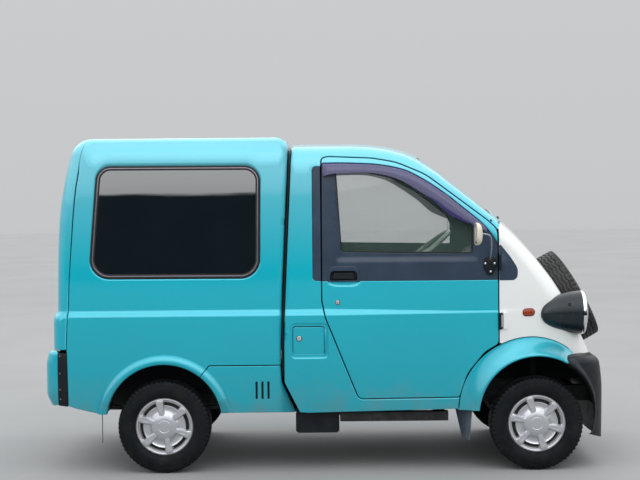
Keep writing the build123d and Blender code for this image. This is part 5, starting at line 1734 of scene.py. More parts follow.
# black corner strips with small screws
strip = rows_to_poly([(-1350.5, 340, 3), (-1301, 334, 3), (-1302, 611, 4), (-1350, 611, 8)])
sp_ = []
panel("", RSIDE, strip, [], heap=sp_, step=14, edge=2.5, depth=8, level=-5.5, mirror=True)
put_parts("rear_corner_strips", sp_, [BLACK, BLACK], "chassis")
hs = Heap()
for z in (585, 500, 420, 372):
    p = RSIDE.xyz(np.array([[-1338.0, z]]), -5.5)[0]
    v, f = lathe(p, (0, -1, 0), [(-1, 0), (-1, 4.6), (1.0, 4.2), (1.9, 2.6), (2.1, 0)], 16)
    hs.add(v, f, 0)
hs.mirrored()
hs.put("rear_strip_screws", [STEEL], "chassis", sharp=40)

# ------------------------------------------------------------------ tyres and wheels


def shell_grid(rows, N, closed_rows=True):
    """Faces of a grid of len(rows) rings of N points; rows run along the section."""
    F = []
    m = rows
    for a in range(m if closed_rows else m - 1):
        b = (a + 1) % m
        for i in range(N):
            j = (i + 1) % N
            F.append([a * N + i, a * N + j, b * N + j, b * N + i])
    return F


def tyre_mesh(c, e1, e2, ax, R, W, bead, pitch, grooves, zig, lug_side=10.0, depth=5.5, sub=5):
    """Tyre with tread blocks. Section from the outer bead over the tread to the inner bead and back inside."""
    h = W / 2
    k = (R - 44 - bead) / 52.0
    side = [(h - 21, bead + 0.5), (h - 15, bead + 2 * k), (h - 10.5, bead + 6 * k), (h - 7.5, bead + 12 * k), (h - 6.5, bead + 17 * k), (h - 4.4, bead + 19 * k), (h - 2.4, bead + 26 * k),
            (h - 0.7, bead + 38 * k), (h, bead + 50 * k)]
    top = [(h - 0.6, R - 38), (h - 1.8, R - 30), (h - 3.4, R - 24.5), (h - 3.2, R - 23.4), (h - 3.4, R - 22.2), (h - 4.9, R - 21.2), (h - 5.6, R - 15), (h - 7.4, R - 8), (h - 10.2, R - 3.6),
           (h - 15, R - 1.6), (h - 21, R - 1.2)]
    y = h - 21
    crown = []
    cut = sorted(set([y * 0.999] + [g + d for g in grooves for d in (-4.1, -2.6, 2.6, 4.1)]), reverse=True)
    cut = [v for v in cut if -y < v < y * 0.995] + [y * 0.8, -y * 0.8]
    cut = sorted(set(cut), reverse=True)
    for v in cut:
        crown.append((v, R - 1.7 * (v / y) ** 2))
    sec = side + top + crown + [(-a, r) for a, r in top[::-1]] + [(-a, r) for a, r in side[::-1]]
    inner = [(-(h - 21), bead + 8), (-(h - 12), bead + 40), (0, R - 14), (h - 12, bead + 40), (h - 21, bead + 8)]
    N = pitch * sub
    th = np.linspace(0, 2 * math.pi, N, endpoint=False)
    k = np.arange(N) % sub
    V = []
    for a, r in sec:
        aa, rr = np.full(N, float(a)), np.full(N, float(r))
        if r > R - 6 and abs(a) <= y:
            for g in grooves:
                if abs(a - g) <= 2.7:
                    rr = rr - depth
                if abs(a - g) <= 4.3:
                    aa = aa + zig * np.where((np.arange(N) // max(1, sub)) % 2 == 0, 1, -1) * np.where(k == 0, 0.4, 1)
        if abs(a) > y - 9 and r > R - 20.5:
            low = k >= sub - 2
            d = depth * np.clip((r - (R - 20.5)) / 8.0, 0.25, 1.0)
            # lugs: cut towards the axle and, on the shoulder, inwards from the side
            n_r = np.clip((r - (R - 20)) / 16.0, 0, 1)
            rr = rr - np.where(low, d * n_r, 0)
            aa = aa - np.sign(a) * np.where(low, d * (1 - n_r) * 0.9, 0)
        V.append(c + ax * aa[:, None] + (np.cos(th)[:, None] * e1 + np.sin(th)[:, None] * e2) * rr[:, None])
    for a, r in inner:
        V.append(c + ax * a + (np.cos(th)[:, None] * e1 + np.sin(th)[:, None] * e2) * r)
    F = shell_grid(len(sec) + len(inner), N)
    V = np.vstack(V)
    f = F[N * 12]
    nrm = np.cross(V[f[1]] - V[f[0]], V[f[2]] - V[f[0]])
    if nrm @ (V[f[0]] - c) < 0:
        F = [q[::-1] for q in F]
    return V, F


COVER_R = [142, 141.4, 140, 137.5, 134.5, 132, 130, 128.8, 127.8, 126.8, 125.4, 123.6, 122.8, 122.0, 121.2, 119, 116, 112.5, 109.5, 107.4, 106.6, 105.8, 105.0, 103.4, 101.6, 100,
           97, 93, 89, 85, 81, 77, 73, 69.5, 66.5, 64, 62.2, 60.6, 58.5, 55.5, 52, 48, 44, 40, 36.5, 33.5, 32, 31, 30.2, 29.2, 28.2, 26.5, 23, 17, 9]


def sm(a, b, x):
    t = np.clip((x - a) / (b - a), 0, 1)
    return t * t * (3 - 2 * t)


def cover_height(R, dth):
    """Height of the wheel cover over its rim plane; dth is the angle from the nearest spoke, in radians."""
    ring = np.interp(R, [126.8, 127.8, 128.8, 130, 132, 134.5, 137.5, 140, 141.4, 142], [-9.0, -6.5, -2.6, -0.4, 1.0, 1.8, 1.8, 0.4, -3.0, -7.0])
    base = np.interp(R, [0, 9, 17, 23, 26.5, 28.2, 29.2, 30.2, 31, 32, 36.5, 44, 52, 58.5, 62.2, 66.5, 73, 81, 89, 97, 101.6, 105, 106, 122, 124, 126.8],
                     [7.2, 7.2, 7.1, 6.9, 6.6, 6.2, 6.8, 7.9, 7.6, 6.6, 6.4, 5.4, 3.4, 1.2, -0.6, -4.2, -8.4, -10.8, -11.2, -9.8, -8.0, -7.4, -8.6, -10.0, -9.2, -9.0])
    across = np.abs(R * np.sin(dth))
    w = np.interp(R, [55, 70, 90, 105, 118, 130, 134], [13.5, 14.0, 16.0, 18.0, 19.5, 20.5, 18.0])
    top = np.interp(R, [52, 62, 75, 95, 112, 124, 130, 135], [1.6, 2.4, 3.0, 3.6, 4.2, 4.4, 3.4, 1.8])
    crown = top - 2.2 * (across / np.maximum(w, 1)) ** 2 - 1.5 * sm(78, 88, R) * (1 - sm(108, 118, R)) * (1 - sm(2.5, 7.0, across))
    k = 1 - sm(w - 2.8, w + 1.6, across)
    k = k * sm(50, 60, R) * (1 - sm(133, 137, R))
    h = np.where(R >= 127.3, ring, base)
    mid = np.pi / 6 - np.abs(dth)                    # angle from the middle of the gap
    slot = (1 - sm(0.305, 0.335, mid)) * sm(105.0, 106.8, R) * (1 - sm(121.4, 123.2, R))
    lipk = (1 - sm(0.35, 0.38, mid)) * np.exp(-((R - 103.2) / 2.0) ** 2) * 1.6
    h = h + lipk - slot * 14.0
    return h * (1 - k) + np.maximum(crown, h) * k, slot * (1 - k)


def cover_mesh(c, out, phase, plane_h, N=240):
    """c: wheel centre; out: unit vector outwards; the cover's rim plane is plane_h along it."""
    e1, e2 = np.array([1.0, 0, 0]), np.array([0, 0, 1.0])
    th = np.linspace(0, 2 * math.pi, N, endpoint=False)
    d = (th - math.radians(phase) + math.pi / 6) % (math.pi / 3) - math.pi / 6
    V, S = [], []
    for r in COVER_R:
        h, s = cover_height(np.full(N, float(r)), d)
        V.append(c + out * (plane_h + h)[:, None] + (np.cos(th)[:, None] * e1 + np.sin(th)[:, None] * e2) * r)
        S.append(s)
    m = len(COVER_R)
    V = np.vstack(V + [[c + out * (plane_h + 7.2)]])
    S = np.concatenate(S + [[0]])
    F = shell_grid(m, N, False)
    F += [[(m - 1) * N + i, (m - 1) * N + (i + 1) % N, m * N] for i in range(N)]
    # back face, so that the cover is a closed shell
    back = c + out * (plane_h - 27) + (np.cos(th)[:, None] * e1 + np.sin(th)[:, None] * e2) * 138.0
    b0 = len(V)
    V = np.vstack([V, back, [c + out * (plane_h - 27)]])
    F += [[b0 + i, b0 + (i + 1) % N, (i + 1) % N, i] for i in range(N)]
    F += [[b0 + N, b0 + (i + 1) % N, b0 + i] for i in range(N)]
    S = np.concatenate([S, np.zeros(N + 1)])
    # faces on the slot floors take the black seal material, a dark fill standing in for the shade seen through open
    # slots
    mat = [1 if max(S[i] for i in f) > 0.55 else 0 for f in F]
    f = F[N * 20]
    nrm = np.cross(V[f[1]] - V[f[0]], V[f[2]] - V[f[0]])
    if nrm @ out < 0:
        F = [q[::-1] for q in F]
    return V, F, mat


WHEELS = {"front_right": (1011.0, -549.0, 46.0), "front_left": (1011.0, 549.0, 46.0), "rear_right": (-829.0, -549.0, 41.0), "rear_left": (-829.0, 549.0, 41.0)}
for wn_, (wx, wy, phase) in WHEELS.items():
    c = np.array([wx, wy, 229.0])
    out = np.array([0, math.copysign(1.0, wy), 0.0])
    V, F = tyre_mesh(c, np.array([1.0, 0, 0]), np.array([0, 0, 1.0]), out, 229.0, 144.0, 142.6, 62, (-19.0, 0.0, 19.0), 1.3, sub=4)
    V[:, 2] = np.maximum(V[:, 2], 0.0)
    put(wn_ + "_tread_tyre", V, F, TYRE, wn_ + "_wheel", sharp=33, replaces=(wn_ + "_tyre",), slot="tyre")
    hw = Heap()
    V, F, M = cover_mesh(c, out, phase, 51.0)
    hw.add(V, F)
    hw.m = list(M)
    v, f = lathe(c, out, [(44, 141), (47, 143), (48, 142), (47, 136), (44, 130), (30, 126.8), (-30, 126.8), (-46, 130), (-50, 141), (-53, 143), (-54, 140), (-50, 124),
                          (-30, 117), (20, 117), (36, 122)], 72, closed=True)
    hw.add(v, f, 2)
    v, f = lathe(c, out, [(22, 118), (14, 96), (2, 70), (6, 20), (-2, 20), (-6, 70), (6, 96), (14, 118)], 48, closed=True)
    hw.add(v, f, 2)
    hw.put(wn_ + "_wheel_cover", [SILVER, SEAL, WHEELGREY], wn_ + "_wheel", sharp=30, replaces=(wn_ + "_wheel",), slot="silver_paint")

# spare: road tyre with four zigzag grooves on a plain steel wheel
E2 = np.array([-0.4848, 0.0, 0.8746])
SP_T = SPARE_C + np.array([-8.5, 0.0, 8.7])
V, F = tyre_mesh(SP_T, np.array([0, 1.0, 0]), E2, SPARE_AX, 250.0, 138.0, 128.0, 60, (-30.0, -10.0, 10.0, 30.0), 2.6, sub=5)
put("spare_tread_tyre", V, F, SPARE_RUBBER, "chassis", sharp=33, replaces=("spare_tyre",), slot="tyre")
SW = Heap()
v, f = lathe(SP_T, SPARE_AX, [(46, 130), (50, 139), (54, 141), (54, 138), (51, 132), (46, 124), (34, 119), (26, 118), (10, 117), (4, 112), (0, 100), (2, 90), (12, 78), (18, 66), (19, 56),
                                 (14, 46), (12, 36), (12, 21), (4, 21), (4, 36), (6, 46), (11, 56), (10, 66), (4, 78), (-6, 90), (-8, 102), (-4, 116), (-30, 120), (-46, 127), (-50, 139),
                                 (-54, 141), (-54, 136), (-46, 130), (-20, 127), (20, 127)], 72, closed=True)
SW.add(v, f, 0)
for k in range(4):
    a = math.radians(45 + 90 * k)
    p = SP_T + SPARE_AX * 12 + (math.cos(a) * np.array([0, 1.0, 0]) + math.sin(a) * E2) * 50
    v, f = lathe(p, SPARE_AX, [(0, 0), (0, 11), (6, 10.5), (6, 8), (13, 7.6), (14.5, 5), (14.8, 0)], 6)
    SW.add(v, f, 1)
for k in range(8):
    a = math.radians(22.5 + 45 * k)
    p = SP_T + SPARE_AX * -3.5 + (math.cos(a) * np.array([0, 1.0, 0]) + math.sin(a) * E2) * 101
    v, f = lathe(p, SPARE_AX, [(0, 0), (0, 9), (4.6, 9), (4.9, 8.2), (4.9, 0)], 24)
    SW.add(v, f, 2)
v, f = lathe(SP_T, SPARE_AX, [(10, 0), (10, 30), (14, 30), (18, 22), (20, 14), (42, 13), (45, 11), (46, 0)], 24)
SW.add(v, f, 1)
SW.put("spare_steel_wheel", [WHEELGREY, STEEL, SEAL], "chassis", sharp=35, replaces=("spare_wheel",), slot="silver_paint")

# ------------------------------------------------------------------ mirrors, hinges, flaps, lid
MOUNT = rows_to_poly([(750, 1004, 14), (757, 1053, 16), (810, 1053, 16), (817, 1008, 14), (797, 965, 12), (771, 965, 12)], 5.0)
mparts = []
panel("", sideR, MOUNT, [], heap=mparts, step=9, edge=6.0, depth=14, level=lambda q: 4.0 + 5.0 * np.clip(inner_distance(MOUNT, q) / 26, 0, 1))
both("mirror_pad", mparts, [BLACK, BLACK], "right_door", "left_door")
mh = Heap()
for x, z in ((759, 1023), (805, 1023), (785, 983)):
    p = sideR.xyz(np.array([[float(x), float(z)]]), 6.2)[0]
    v, f = lathe(p, (0, -1, 0), [(-1, 0), (-1, 5.2), (1.2, 4.8), (2.4, 3.0), (2.7, 0)], 18)
    mh.add(v, f, 1)
sy = sideR.xyz(np.array([[781.0, 1040.0]]))[0, 1]
stalk = smooth_path([(783, sy + 4, 1036), (784, sy - 14, 1054), (786, sy - 34, 1096), (783, sy - 50, 1140), (776, sy - 60, 1158), (762, sy - 68, 1166), (740, -690, 1170), (722, -712, 1172)], 6.0)
v, f = tube(stalk, 5.2, 14)
mh.add(v, f, 0)
# the head: a shell bulging forward behind a rounded oblong glass
mu = np.linspace(0, 2 * math.pi, 64, endpoint=False)
se = lambda a_, n_: np.sign(a_) * np.abs(a_) ** (2.0 / n_)
oy, oz = se(np.cos(mu), 3.2), se(np.sin(mu), 2.6)
mc = np.array([703.0, -735.0, 1172.0])
rings = [(-3, 0.86), (-4.5, 0.93), (-3.6, 0.98), (0, 1.0), (5, 0.985), (12, 0.93), (18, 0.82), (23, 0.64), (26, 0.40), (27, 0.16)]
mv = [np.column_stack([np.full(64, mc[0] + h_), mc[1] + 75 * k_ * oy, mc[2] + 55 * k_ * oz]) for h_, k_ in rings]
mf = [[i * 64 + j, i * 64 + (j + 1) % 64, (i + 1) * 64 + (j + 1) % 64, (i + 1) * 64 + j] for i in range(len(rings) - 1) for j in range(64)]
mf.append([(len(rings) - 1) * 64 + j for j in range(64)])
mv = np.vstack(mv)
if np.cross(mv[mf[320][1]] - mv[mf[320][0]], mv[mf[320][2]] - mv[mf[320][0]]) @ (mv[mf[320][0]] - mc - [8, 0, 0]) < 0:
    mf = [q[::-1] for q in mf]
mh.add(mv, mf, 2)
gv = np.vstack([np.column_stack([np.full(64, mc[0] - 2.2), mc[1] + 75 * 0.87 * oy, mc[2] + 55 * 0.87 * oz]), [mc - [3.4, 0, 0]]])
mh.add(gv, [[(j + 1) % 64, j, 64] for j in range(64)], 3)
mh.put("right_mirror_head", [STALK, CHROME, BEIGE, CHROME], "right_door", sharp=42, replaces=("right_mirror",), slot="black_plastic")
ml = Heap()
ml.add(np.vstack(mh.v) * [1, -1, 1], [q[::-1] for q in mh.f])
ml.m = list(mh.m)
ml.put("left_mirror_head", [STALK, CHROME, BEIGE, CHROME], "left_door", sharp=42, replaces=("left_mirror",), slot="black_plastic")

hh = Heap()
for (x0, x1, z0, z1, rr) in ((824.4, 840, 989, 1065, 5.0), (825.5, 847, 698, 779, 7.0)):
    y = sideR.xyz(np.array([[(x0 + x1) / 2, (z0 + z1) / 2]]))[0, 1]
    v, f = round_box(x0, x1, y - 7.5, y + 10, z0, z1, rr, 3)
    hh.add(v, f, 0)
y = sideR.xyz(np.array([[836.0, 738.0]]))[0, 1]
v, f = round_box(831, 842, y - 9.2, y + 2, 708, 770, 3.5, 3)
hh.add(v, f, 1)
y = sideR.xyz(np.array([[832.0, 1027.0]]))[0, 1]
v, f = lathe((831.5, y - 6.5, 1031), (0, 0, 1), [(0, 0), (0, 4.6), (30, 4.6), (30, 0)], 20)
hh.add(v, f, 0)
hh.mirrored()
hh.put("door_hinges", [BLACK, WHITE], "chassis", sharp=40)

# rubber stops on the feet of the windscreen pillars
hs = Heap()
stop = sideR.xyz(np.array([[792.0, 1233.0]]))[0]
v, f = lathe(stop, (0.36, -0.80, 0.48), [(-3, 0), (-3, 6.5), (1.6, 6.2), (2.8, 4.6), (3.2, 0)], 28)
hs.add(v, f, 0)
hs.mirrored()
hs.put("pillar_stops", [BLACK], "chassis", sharp=40)

fl2 = Heap()
TL, TR = np.array([617.0, -488.0, 303.0]), np.array([690.0, -607.0, 303.0])
BL, BR = np.array([652.0, -488.0, 150.0]), np.array([677.0, -607.0, 150.0])
nu, nvv = 41, 10
front, rear = [], []
for j in range(nvv):
    w = j / (nvv - 1)
    L, Rr = TL + (BL - TL) * w, TR + (BR - TR) * w
    d = Rr - L
    nrm = np.array([-d[1], d[0], 0]) / np.hypot(d[0], d[1])
    for i in range(nu):
        u = i / (nu - 1)
        rib = 1.6 if (i % 8) in (3, 4, 5) else 0.0
        p = L + d * u
        front.append(p - nrm * (1.8 + rib))
        rear.append(p + nrm * (1.8 + rib))
V = np.array(front + rear)
k = nu * nvv
F = []
for j in range(nvv - 1):
    for i in range(nu - 1):
        a = j * nu + i
        F.append([a, a + 1, a + nu + 1, a + nu])
        F.append([a + k, a + nu + k, a + nu + 1 + k, a + 1 + k])
for i in range(nu - 1):
    F.append([i, i + k, i + 1 + k, i + 1])
    a = (nvv - 1) * nu + i
    F.append([a, a + 1, a + 1 + k, a + k])
for j in range(nvv - 1):
    a = j * nu
    F.append([a, a + nu, a + nu + k, a + k])
    a = j * nu + nu - 1
    F.append([a, a + k, a + nu + k, a + nu])
fl2.add(V, F, 0)
v, f = round_box(-1135.5, -1131.5, -604, -484, 152, 296, 1.8, 2)
v[:, 0] -= (v[:, 1] + 604) * 0.162
fl2.add(v, f, 0)
fl2.mirrored()
fl2.put("wheel_flaps", [FLAP], "chassis", sharp=30, replaces=("mud_flaps",), slot="rubber")

# fuel lid with its lock, the filler behind it
lidp = []
LID = rows_to_poly([(-189, 584, 13), (-35, 584, 13), (-35, 718, 13), (-189, 718, 13)], 6.0)
panel("fuel_flap", sideR, LID, [], [TEAL, TRIM], "fuel_lid", step=16, edge=3.0, depth=3.5, level=-4.5, replaces=("fuel_lid",), slot="teal_paint")
h = Heap()
lock(h, -159, 662, 12.0)
V = np.vstack(h.v)
V[:, 1] += 4.4
h.v = [V]
h.put("fuel_flap_lock", [CHROME, SEAL, BLACK], "fuel_lid", sharp=35)
fb = Heap()
y = sideR.xyz(np.array([[-112.0, 650.0]]))[0, 1]
v, f = round_box(-192, -32, y + 22, y + 26, 580, 722, 2, 1)
fb.add(v, f, 1)
v, f = lathe((-104, y + 24, 648), (0, -1, 0), [(0, 0), (0, 33), (6, 33), (8, 30), (9, 24), (9, 0)], 40)
fb.add(v, f, 0)
v, f = round_box(-130, -78, y + 9.5, y + 18, 642, 654, 3, 2)
fb.add(v, f, 0)
fb.put("fuel_filler", [BLACK, TRIM], "chassis", sharp=40)

# wheel wells, trimmed level with the body's lower edge
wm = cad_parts["wheel_liners"].data.copy()
wm.name = "wheel_wells"
wc = np.zeros(len(wm.vertices) * 3, np.float32)
wm.vertices.foreach_get("co", wc)
wc = wc.reshape(-1, 3)
wc[:, 2] = np.maximum(wc[:, 2], 0.3025)
wm.vertices.foreach_set("co", wc.ravel())
wm.materials.clear()
wm.materials.append(GAP)
wells = bpy.data.objects.new("wheel_wells", wm)
bpy.context.scene.collection.objects.link(wells)
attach(wells, "chassis")
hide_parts("wheel_liners")

# ------------------------------------------------------------------ cabin: steering wheel, dashboard, seats
FABRIC, fnt, fb_ = new_mat("grey_woven_fabric")
fv = coords(fnt)
weave = []
for sc_ in ((900, 1, 1), (1, 900, 1)):
    w_ = fnt.nodes.new("ShaderNodeTexWave")
    w_.inputs["Scale"].default_value = 0.35
    w_.inputs["Distortion"].default_value = 0.6
    fnt.links.new(coords(fnt, sc_), w_.inputs["Vector"])
    weave.append(w_.outputs["Fac"])
wmul = fnt.nodes.new("ShaderNodeMath")
wmul.operation = "MULTIPLY"
fnt.links.new(weave[0], wmul.inputs[0])
fnt.links.new(weave[1], wmul.inputs[1])
fc = mix(fnt, to_range(fnt, noise(fnt, fv, 26.0, 5.0), 0.35, 0.7, 0.0, 1.0), srgb(86, 92, 98), srgb(104, 109, 114))
fc = mix(fnt, to_range(fnt, wmul.outputs[0], 0.0, 0.8, 0.45, 0.0), fc, srgb(48, 52, 58))
fnt.links.new(fc, fb_.inputs["Base Color"])
fb_.inputs["Roughness"].default_value = 0.92
fb_.inputs["Sheen Weight"].default_value = 0.25
bump(fnt, fb_, wmul.outputs[0], 0.35, 0.0006)
WHEELRIM = plastic("steering_wheel_rim", srgb(150, 162, 152), 0.42, 1200.0, 0.15)
DASH = plastic("dashboard_grain", srgb(62, 70, 74), 0.62, 520.0, 0.35)
DIAL = plastic("dial_face", srgb(16, 17, 18), 0.3, 900.0, 0.02)

STEER_C = np.array([465.0, -290.0, 1060.0])
STEER_AX = np.array([-0.616, 0.0, 0.788])
STEER_AX /= np.linalg.norm(STEER_AX)
e1s, e2s = np.array([0, 1.0, 0]), np.cross(STEER_AX, [0, 1.0, 0])
if e2s[2] < 0:
    e2s = -e2s
sw = Heap()
ang = np.linspace(0, 2 * math.pi, 97)[:-1]
ringv = []
for a in ang:
    d = math.cos(a) * e1s + math.sin(a) * e2s
    for b in np.linspace(0, 2 * math.pi, 15)[:-1]:
        grip = 13.0 + 0.7 * math.cos(24 * a) * max(0.0, -math.cos(b))
        ringv.append(STEER_C + d * (178 + grip * math.cos(b)) + STEER_AX * grip * math.sin(b))
n1, n2 = len(ang), 14
F = [[i * n2 + j, i * n2 + (j + 1) % n2, ((i + 1) % n1) * n2 + (j + 1) % n2, ((i + 1) % n1) * n2 + j] for i in range(n1) for j in range(n2)]
V = np.array(ringv)
F = outward(V, F, STEER_C + math.cos(ang[48]) * e1s * 178 + math.sin(ang[48]) * e2s * 178)
sw.add(V, F, 0)
for a in (-8, 188, 270):
    d = math.cos(math.radians(a)) * e1s + math.sin(math.radians(a)) * e2s
    t = np.cross(STEER_AX, d)
    secs = []
    for r, w, h0, th_ in ((30, 26, -16, 7), (60, 22, -15, 6), (100, 18, -12, 5.5), (140, 17, -7, 5.5), (172, 19, -2, 6)):
        sec = []
        for b in np.linspace(0, 2 * math.pi, 17)[:-1]:
            cb, sb = math.cos(b), math.sin(b)
            sec.append(STEER_C + d * r + t * w * np.sign(cb) * abs(cb) ** 0.6 + STEER_AX * (h0 + th_ * np.sign(sb) * abs(sb) ** 0.6))
        secs.append(sec)
    v, f = sweep(secs, closed=True)
    f = outward(v, f, np.mean(secs[2], axis=0))
    sw.add(v, f, 0)
v, f = lathe(STEER_C, STEER_AX, [(-40, 0), (-40, 34), (-34, 40), (-22, 52), (-12, 56), (-5, 53), (0, 44), (3, 28), (4, 0)], 48)
sw.add(v, f, 0)
v, f = lathe(STEER_C, STEER_AX, [(2.4, 0), (2.4, 27), (4.6, 26), (5.4, 23), (5.6, 0)], 40)
sw.add(v, f, 1)
sw.put("steering_wheel_rim", [WHEELRIM, DIAL], "steering_wheel", sharp=40, replaces=("steering_wheel",), slot="dash_plastic")

dash_prof = [(948, 1078), (900, 1079), (850, 1077), (806, 1071), (778, 1062), (760, 1046), (748, 1022), (738, 996), (730, 968), (734, 944), (746, 918), (756, 890), (762, 862),
             (770, 842), (790, 828), (830, 822), (900, 821), (948, 821)]
dp = smooth_path([(x, 0, z) for x, z in dash_prof], 9.0)[:, [0, 2]]
dy = np.concatenate([[-526, -522, -515], np.linspace(-505, 505, 120), [515, 522, 526]])
secs = []
cen = np.array([860.0, 950.0])
for y in dy:
    k = 1.0 if abs(y) < 506 else float(np.interp(abs(y), [506, 515, 522, 526], [1.0, 0.992, 0.975, 0.94]))
    hood = math.exp(-((y + 290) / 120.0) ** 4)
    tray = 1 - math.exp(-((y - 250) / 210.0) ** 6)
    q = cen + (dp - cen) * k
    up = np.clip((dp[:, 1] - 1030) / 40, 0, 1) * np.clip((900 - dp[:, 0]) / 60, 0, 1)
    face = np.exp(-((dp[:, 1] - 1000) / 30.0) ** 2) * np.clip((800 - dp[:, 0]) / 30, 0, 1)
    low = np.exp(-((dp[:, 1] - 930) / 26.0) ** 2) * np.clip((800 - dp[:, 0]) / 30, 0, 1)
    X = q[:, 0] + 20 * face * hood - 10 * up * hood + 12 * low * (1 - tray)
    Z = q[:, 1] + 0.0 * up
    rowp = np.column_stack([X, np.full(len(X), y), Z])
    lim = sideR.xyz(np.column_stack([X, Z]))[:, 1]
    rowp[:, 1] = np.sign(y) * np.minimum(abs(y), -lim - 44)
    secs.append(rowp)
V, F = sweep(secs, closed=True)
F = outward(V, F, np.mean(secs[60], axis=0))
dh = Heap().add(V, F, 0)
for y0_, r_ in ((-340, 40), (-245, 40)):
    v, f = lathe((757, y0_, 1000), (-1, 0, 0.12), [(-4, 0), (-4, r_ + 3), (5, r_ + 3), (6, r_), (2, r_ - 2), (1, 0)], 40)
    dh.add(v, f, 1)
for y0_ in (-470, -60, 60, 470):
    v, f = round_box(738, 752, y0_ - 44, y0_ + 44, 985, 1017, 4, 2)
    dh.add(v, f, 1)
    for z in (993, 1001, 1009):
        v, f = round_box(734, 741, y0_ - 40, y0_ + 40, z - 1.6, z + 1.6, 1.4, 1)
        dh.add(v, f, 0)
dh.put("dashboard_skin", [DASH, DIAL], "chassis", sharp=45, replaces=("dashboard",), slot="dash_plastic")


def soft_block(rows, y0, y1, r, step=12.0):
    """Rounded side-view profile between y0 and y1 with rounded ends, as a coarse closed mesh."""
    P = rows_to_poly(rows, step)
    ys, ins = [], []
    for a in np.linspace(0, math.pi / 2, 5):
        ys.append(y0 + r * (1 - math.sin(a)))
        ins.append(r * (1 - math.cos(a)))
    ys, ins = ys[::-1], ins[::-1]
    secs = []
    for y, i_ in list(zip(ys, ins)) + [(y, 0.0) for y in np.linspace(y0 + r, y1 - r, 14)[1:-1]] + [(y0 + y1 - y, i_) for y, i_ in zip(ys[::-1], ins[::-1])]:
        q = shift(P, i_)
        secs.append(np.column_stack([q[:, 0], np.full(len(q), y), q[:, 1]]))
    V, F = sweep(secs, closed=True)
    return V, outward(V, F, np.mean(secs[len(secs) // 2], axis=0))


def stuffed(V, F, cap_mm, voxel):
    """Shape after remeshing and a short inflation of the cover; points in millimetres and faces."""
    me = bpy.data.meshes.new("pad")
    me.from_pydata((np.asarray(V) * MM).tolist(), [], F)
    ob = bpy.data.objects.new("pad", me)
    bpy.context.scene.collection.objects.link(ob)
    rm = ob.modifiers.new("remesh", "REMESH")
    rm.mode = "VOXEL"
    rm.voxel_size = voxel
    dg = bpy.context.evaluated_depsgraph_get()
    me2 = bpy.data.meshes.new_from_object(ob.evaluated_get(dg))
    ob.modifiers.clear()
    ob.data = me2
    n = len(me2.vertices)
    start = np.zeros(n * 3, np.float32)
    me2.vertices.foreach_get("co", start)
    start = start.reshape(-1, 3).astype(float)
    end = start.copy()
    cl = ob.modifiers.new("cloth", "CLOTH")
    st = cl.settings
    st.quality = 4
    st.mass = 0.25
    st.tension_stiffness = 12
    st.compression_stiffness = 12
    st.bending_stiffness = 0.6
    st.use_pressure = True
    st.uniform_pressure_force = 4.0
    st.effector_weights.gravity = 0.0
    cl.point_cache.frame_start = 1
    cl.point_cache.frame_end = 20
    for fr in range(1, 21):
        bpy.context.scene.frame_set(fr)
    dg = bpy.context.evaluated_depsgraph_get()
    me3 = bpy.data.meshes.new_from_object(ob.evaluated_get(dg))
    if len(me3.vertices) == n:
        q = np.zeros(n * 3, np.float32)
        me3.vertices.foreach_get("co", q)
        end = q.reshape(-1, 3).astype(float)
    ob.modifiers.clear()
    bpy.context.scene.frame_set(1)
    d = end - start
    L = np.linalg.norm(d, axis=1, keepdims=True)
    d *= np.minimum(1.0, cap_mm * MM / np.maximum(L, 1e-9))
    faces = [list(p.vertices) for p in me2.polygons]
    bpy.data.objects.remove(ob)
    return (start + d) / MM, faces


def channels(V, axis_pts, axis_dir, top_dir, depth, width):
    """Presses sewn channels across the pad's upper face."""
    V = V.copy()
    s_ = V @ np.asarray(axis_dir)
    up = V @ np.asarray(top_dir)
    lim = np.quantile(up, 0.62)
    for a in axis_pts:
        V -= np.outer(depth * np.exp(-((s_ - a) / width) ** 2) * np.clip((up - lim) / 8, 0, 1), top_dir)
    return V


def limit_box(V, lo, hi):
    return np.clip(V, lo, hi)


V0, F0 = soft_block([(-30, 622, 26), (414, 622, 26), (414, 716, 44), (-30, 706, 30)], 68, 492, 30)
V0, F0 = stuffed(V0, F0, 12.0, 0.0085)
V0 = channels(V0, (60, 150, 240, 330), (1.0, 0, 0), (0.0, 0, 1.0), 5.0, 7.0)
V0 = limit_box(V0, [-39, 61, 615], [424, 499, 732])
ch = Heap().add(V0, F0, 0)
pz = smooth_path([(388, 76, 704), (396, 280, 712), (388, 484, 704), (180, 493, 706), (-18, 480, 694), (-26, 280, 696), (-18, 80, 694), (180, 67, 706)], 12.0, closed=True)
v, f = tube(np.vstack([pz, pz[:1]]), 3.2, 8)
ch.add(v, f, 1)
ch.mirrored()
cush = ch.put("seat_pads", [FABRIC, SEAL], "chassis", sharp=60, replaces=("seat_cushions",), slot="grey_fabric")
bt0 = [(-152, 1024, 30), (-80, 1028, 32), (28, 742, 22), (-50, 742, 22)]
V1, F1 = soft_block(bt0, 70, 490, 26)
V1, F1 = stuffed(V1, F1, 9.0, 0.0085)
axd = np.array([-108.0, 0, 286.0]) / np.hypot(108, 286)
fwd = np.array([axd[2], 0, -axd[0]])
s0 = np.array([28.0, 0, 742.0]) @ axd
V1 = channels(V1, (s0 + 70, s0 + 140, s0 + 210), axd, fwd, 4.5, 7.0)
V1 = limit_box(V1, [-166, 58, 728], [44, 502, 1042])
bh = Heap().add(V1, F1, 0).mirrored()
backs = bh.put("seat_back_pads", [FABRIC], "chassis", sharp=60, replaces=("seat_backs",), slot="grey_fabric")

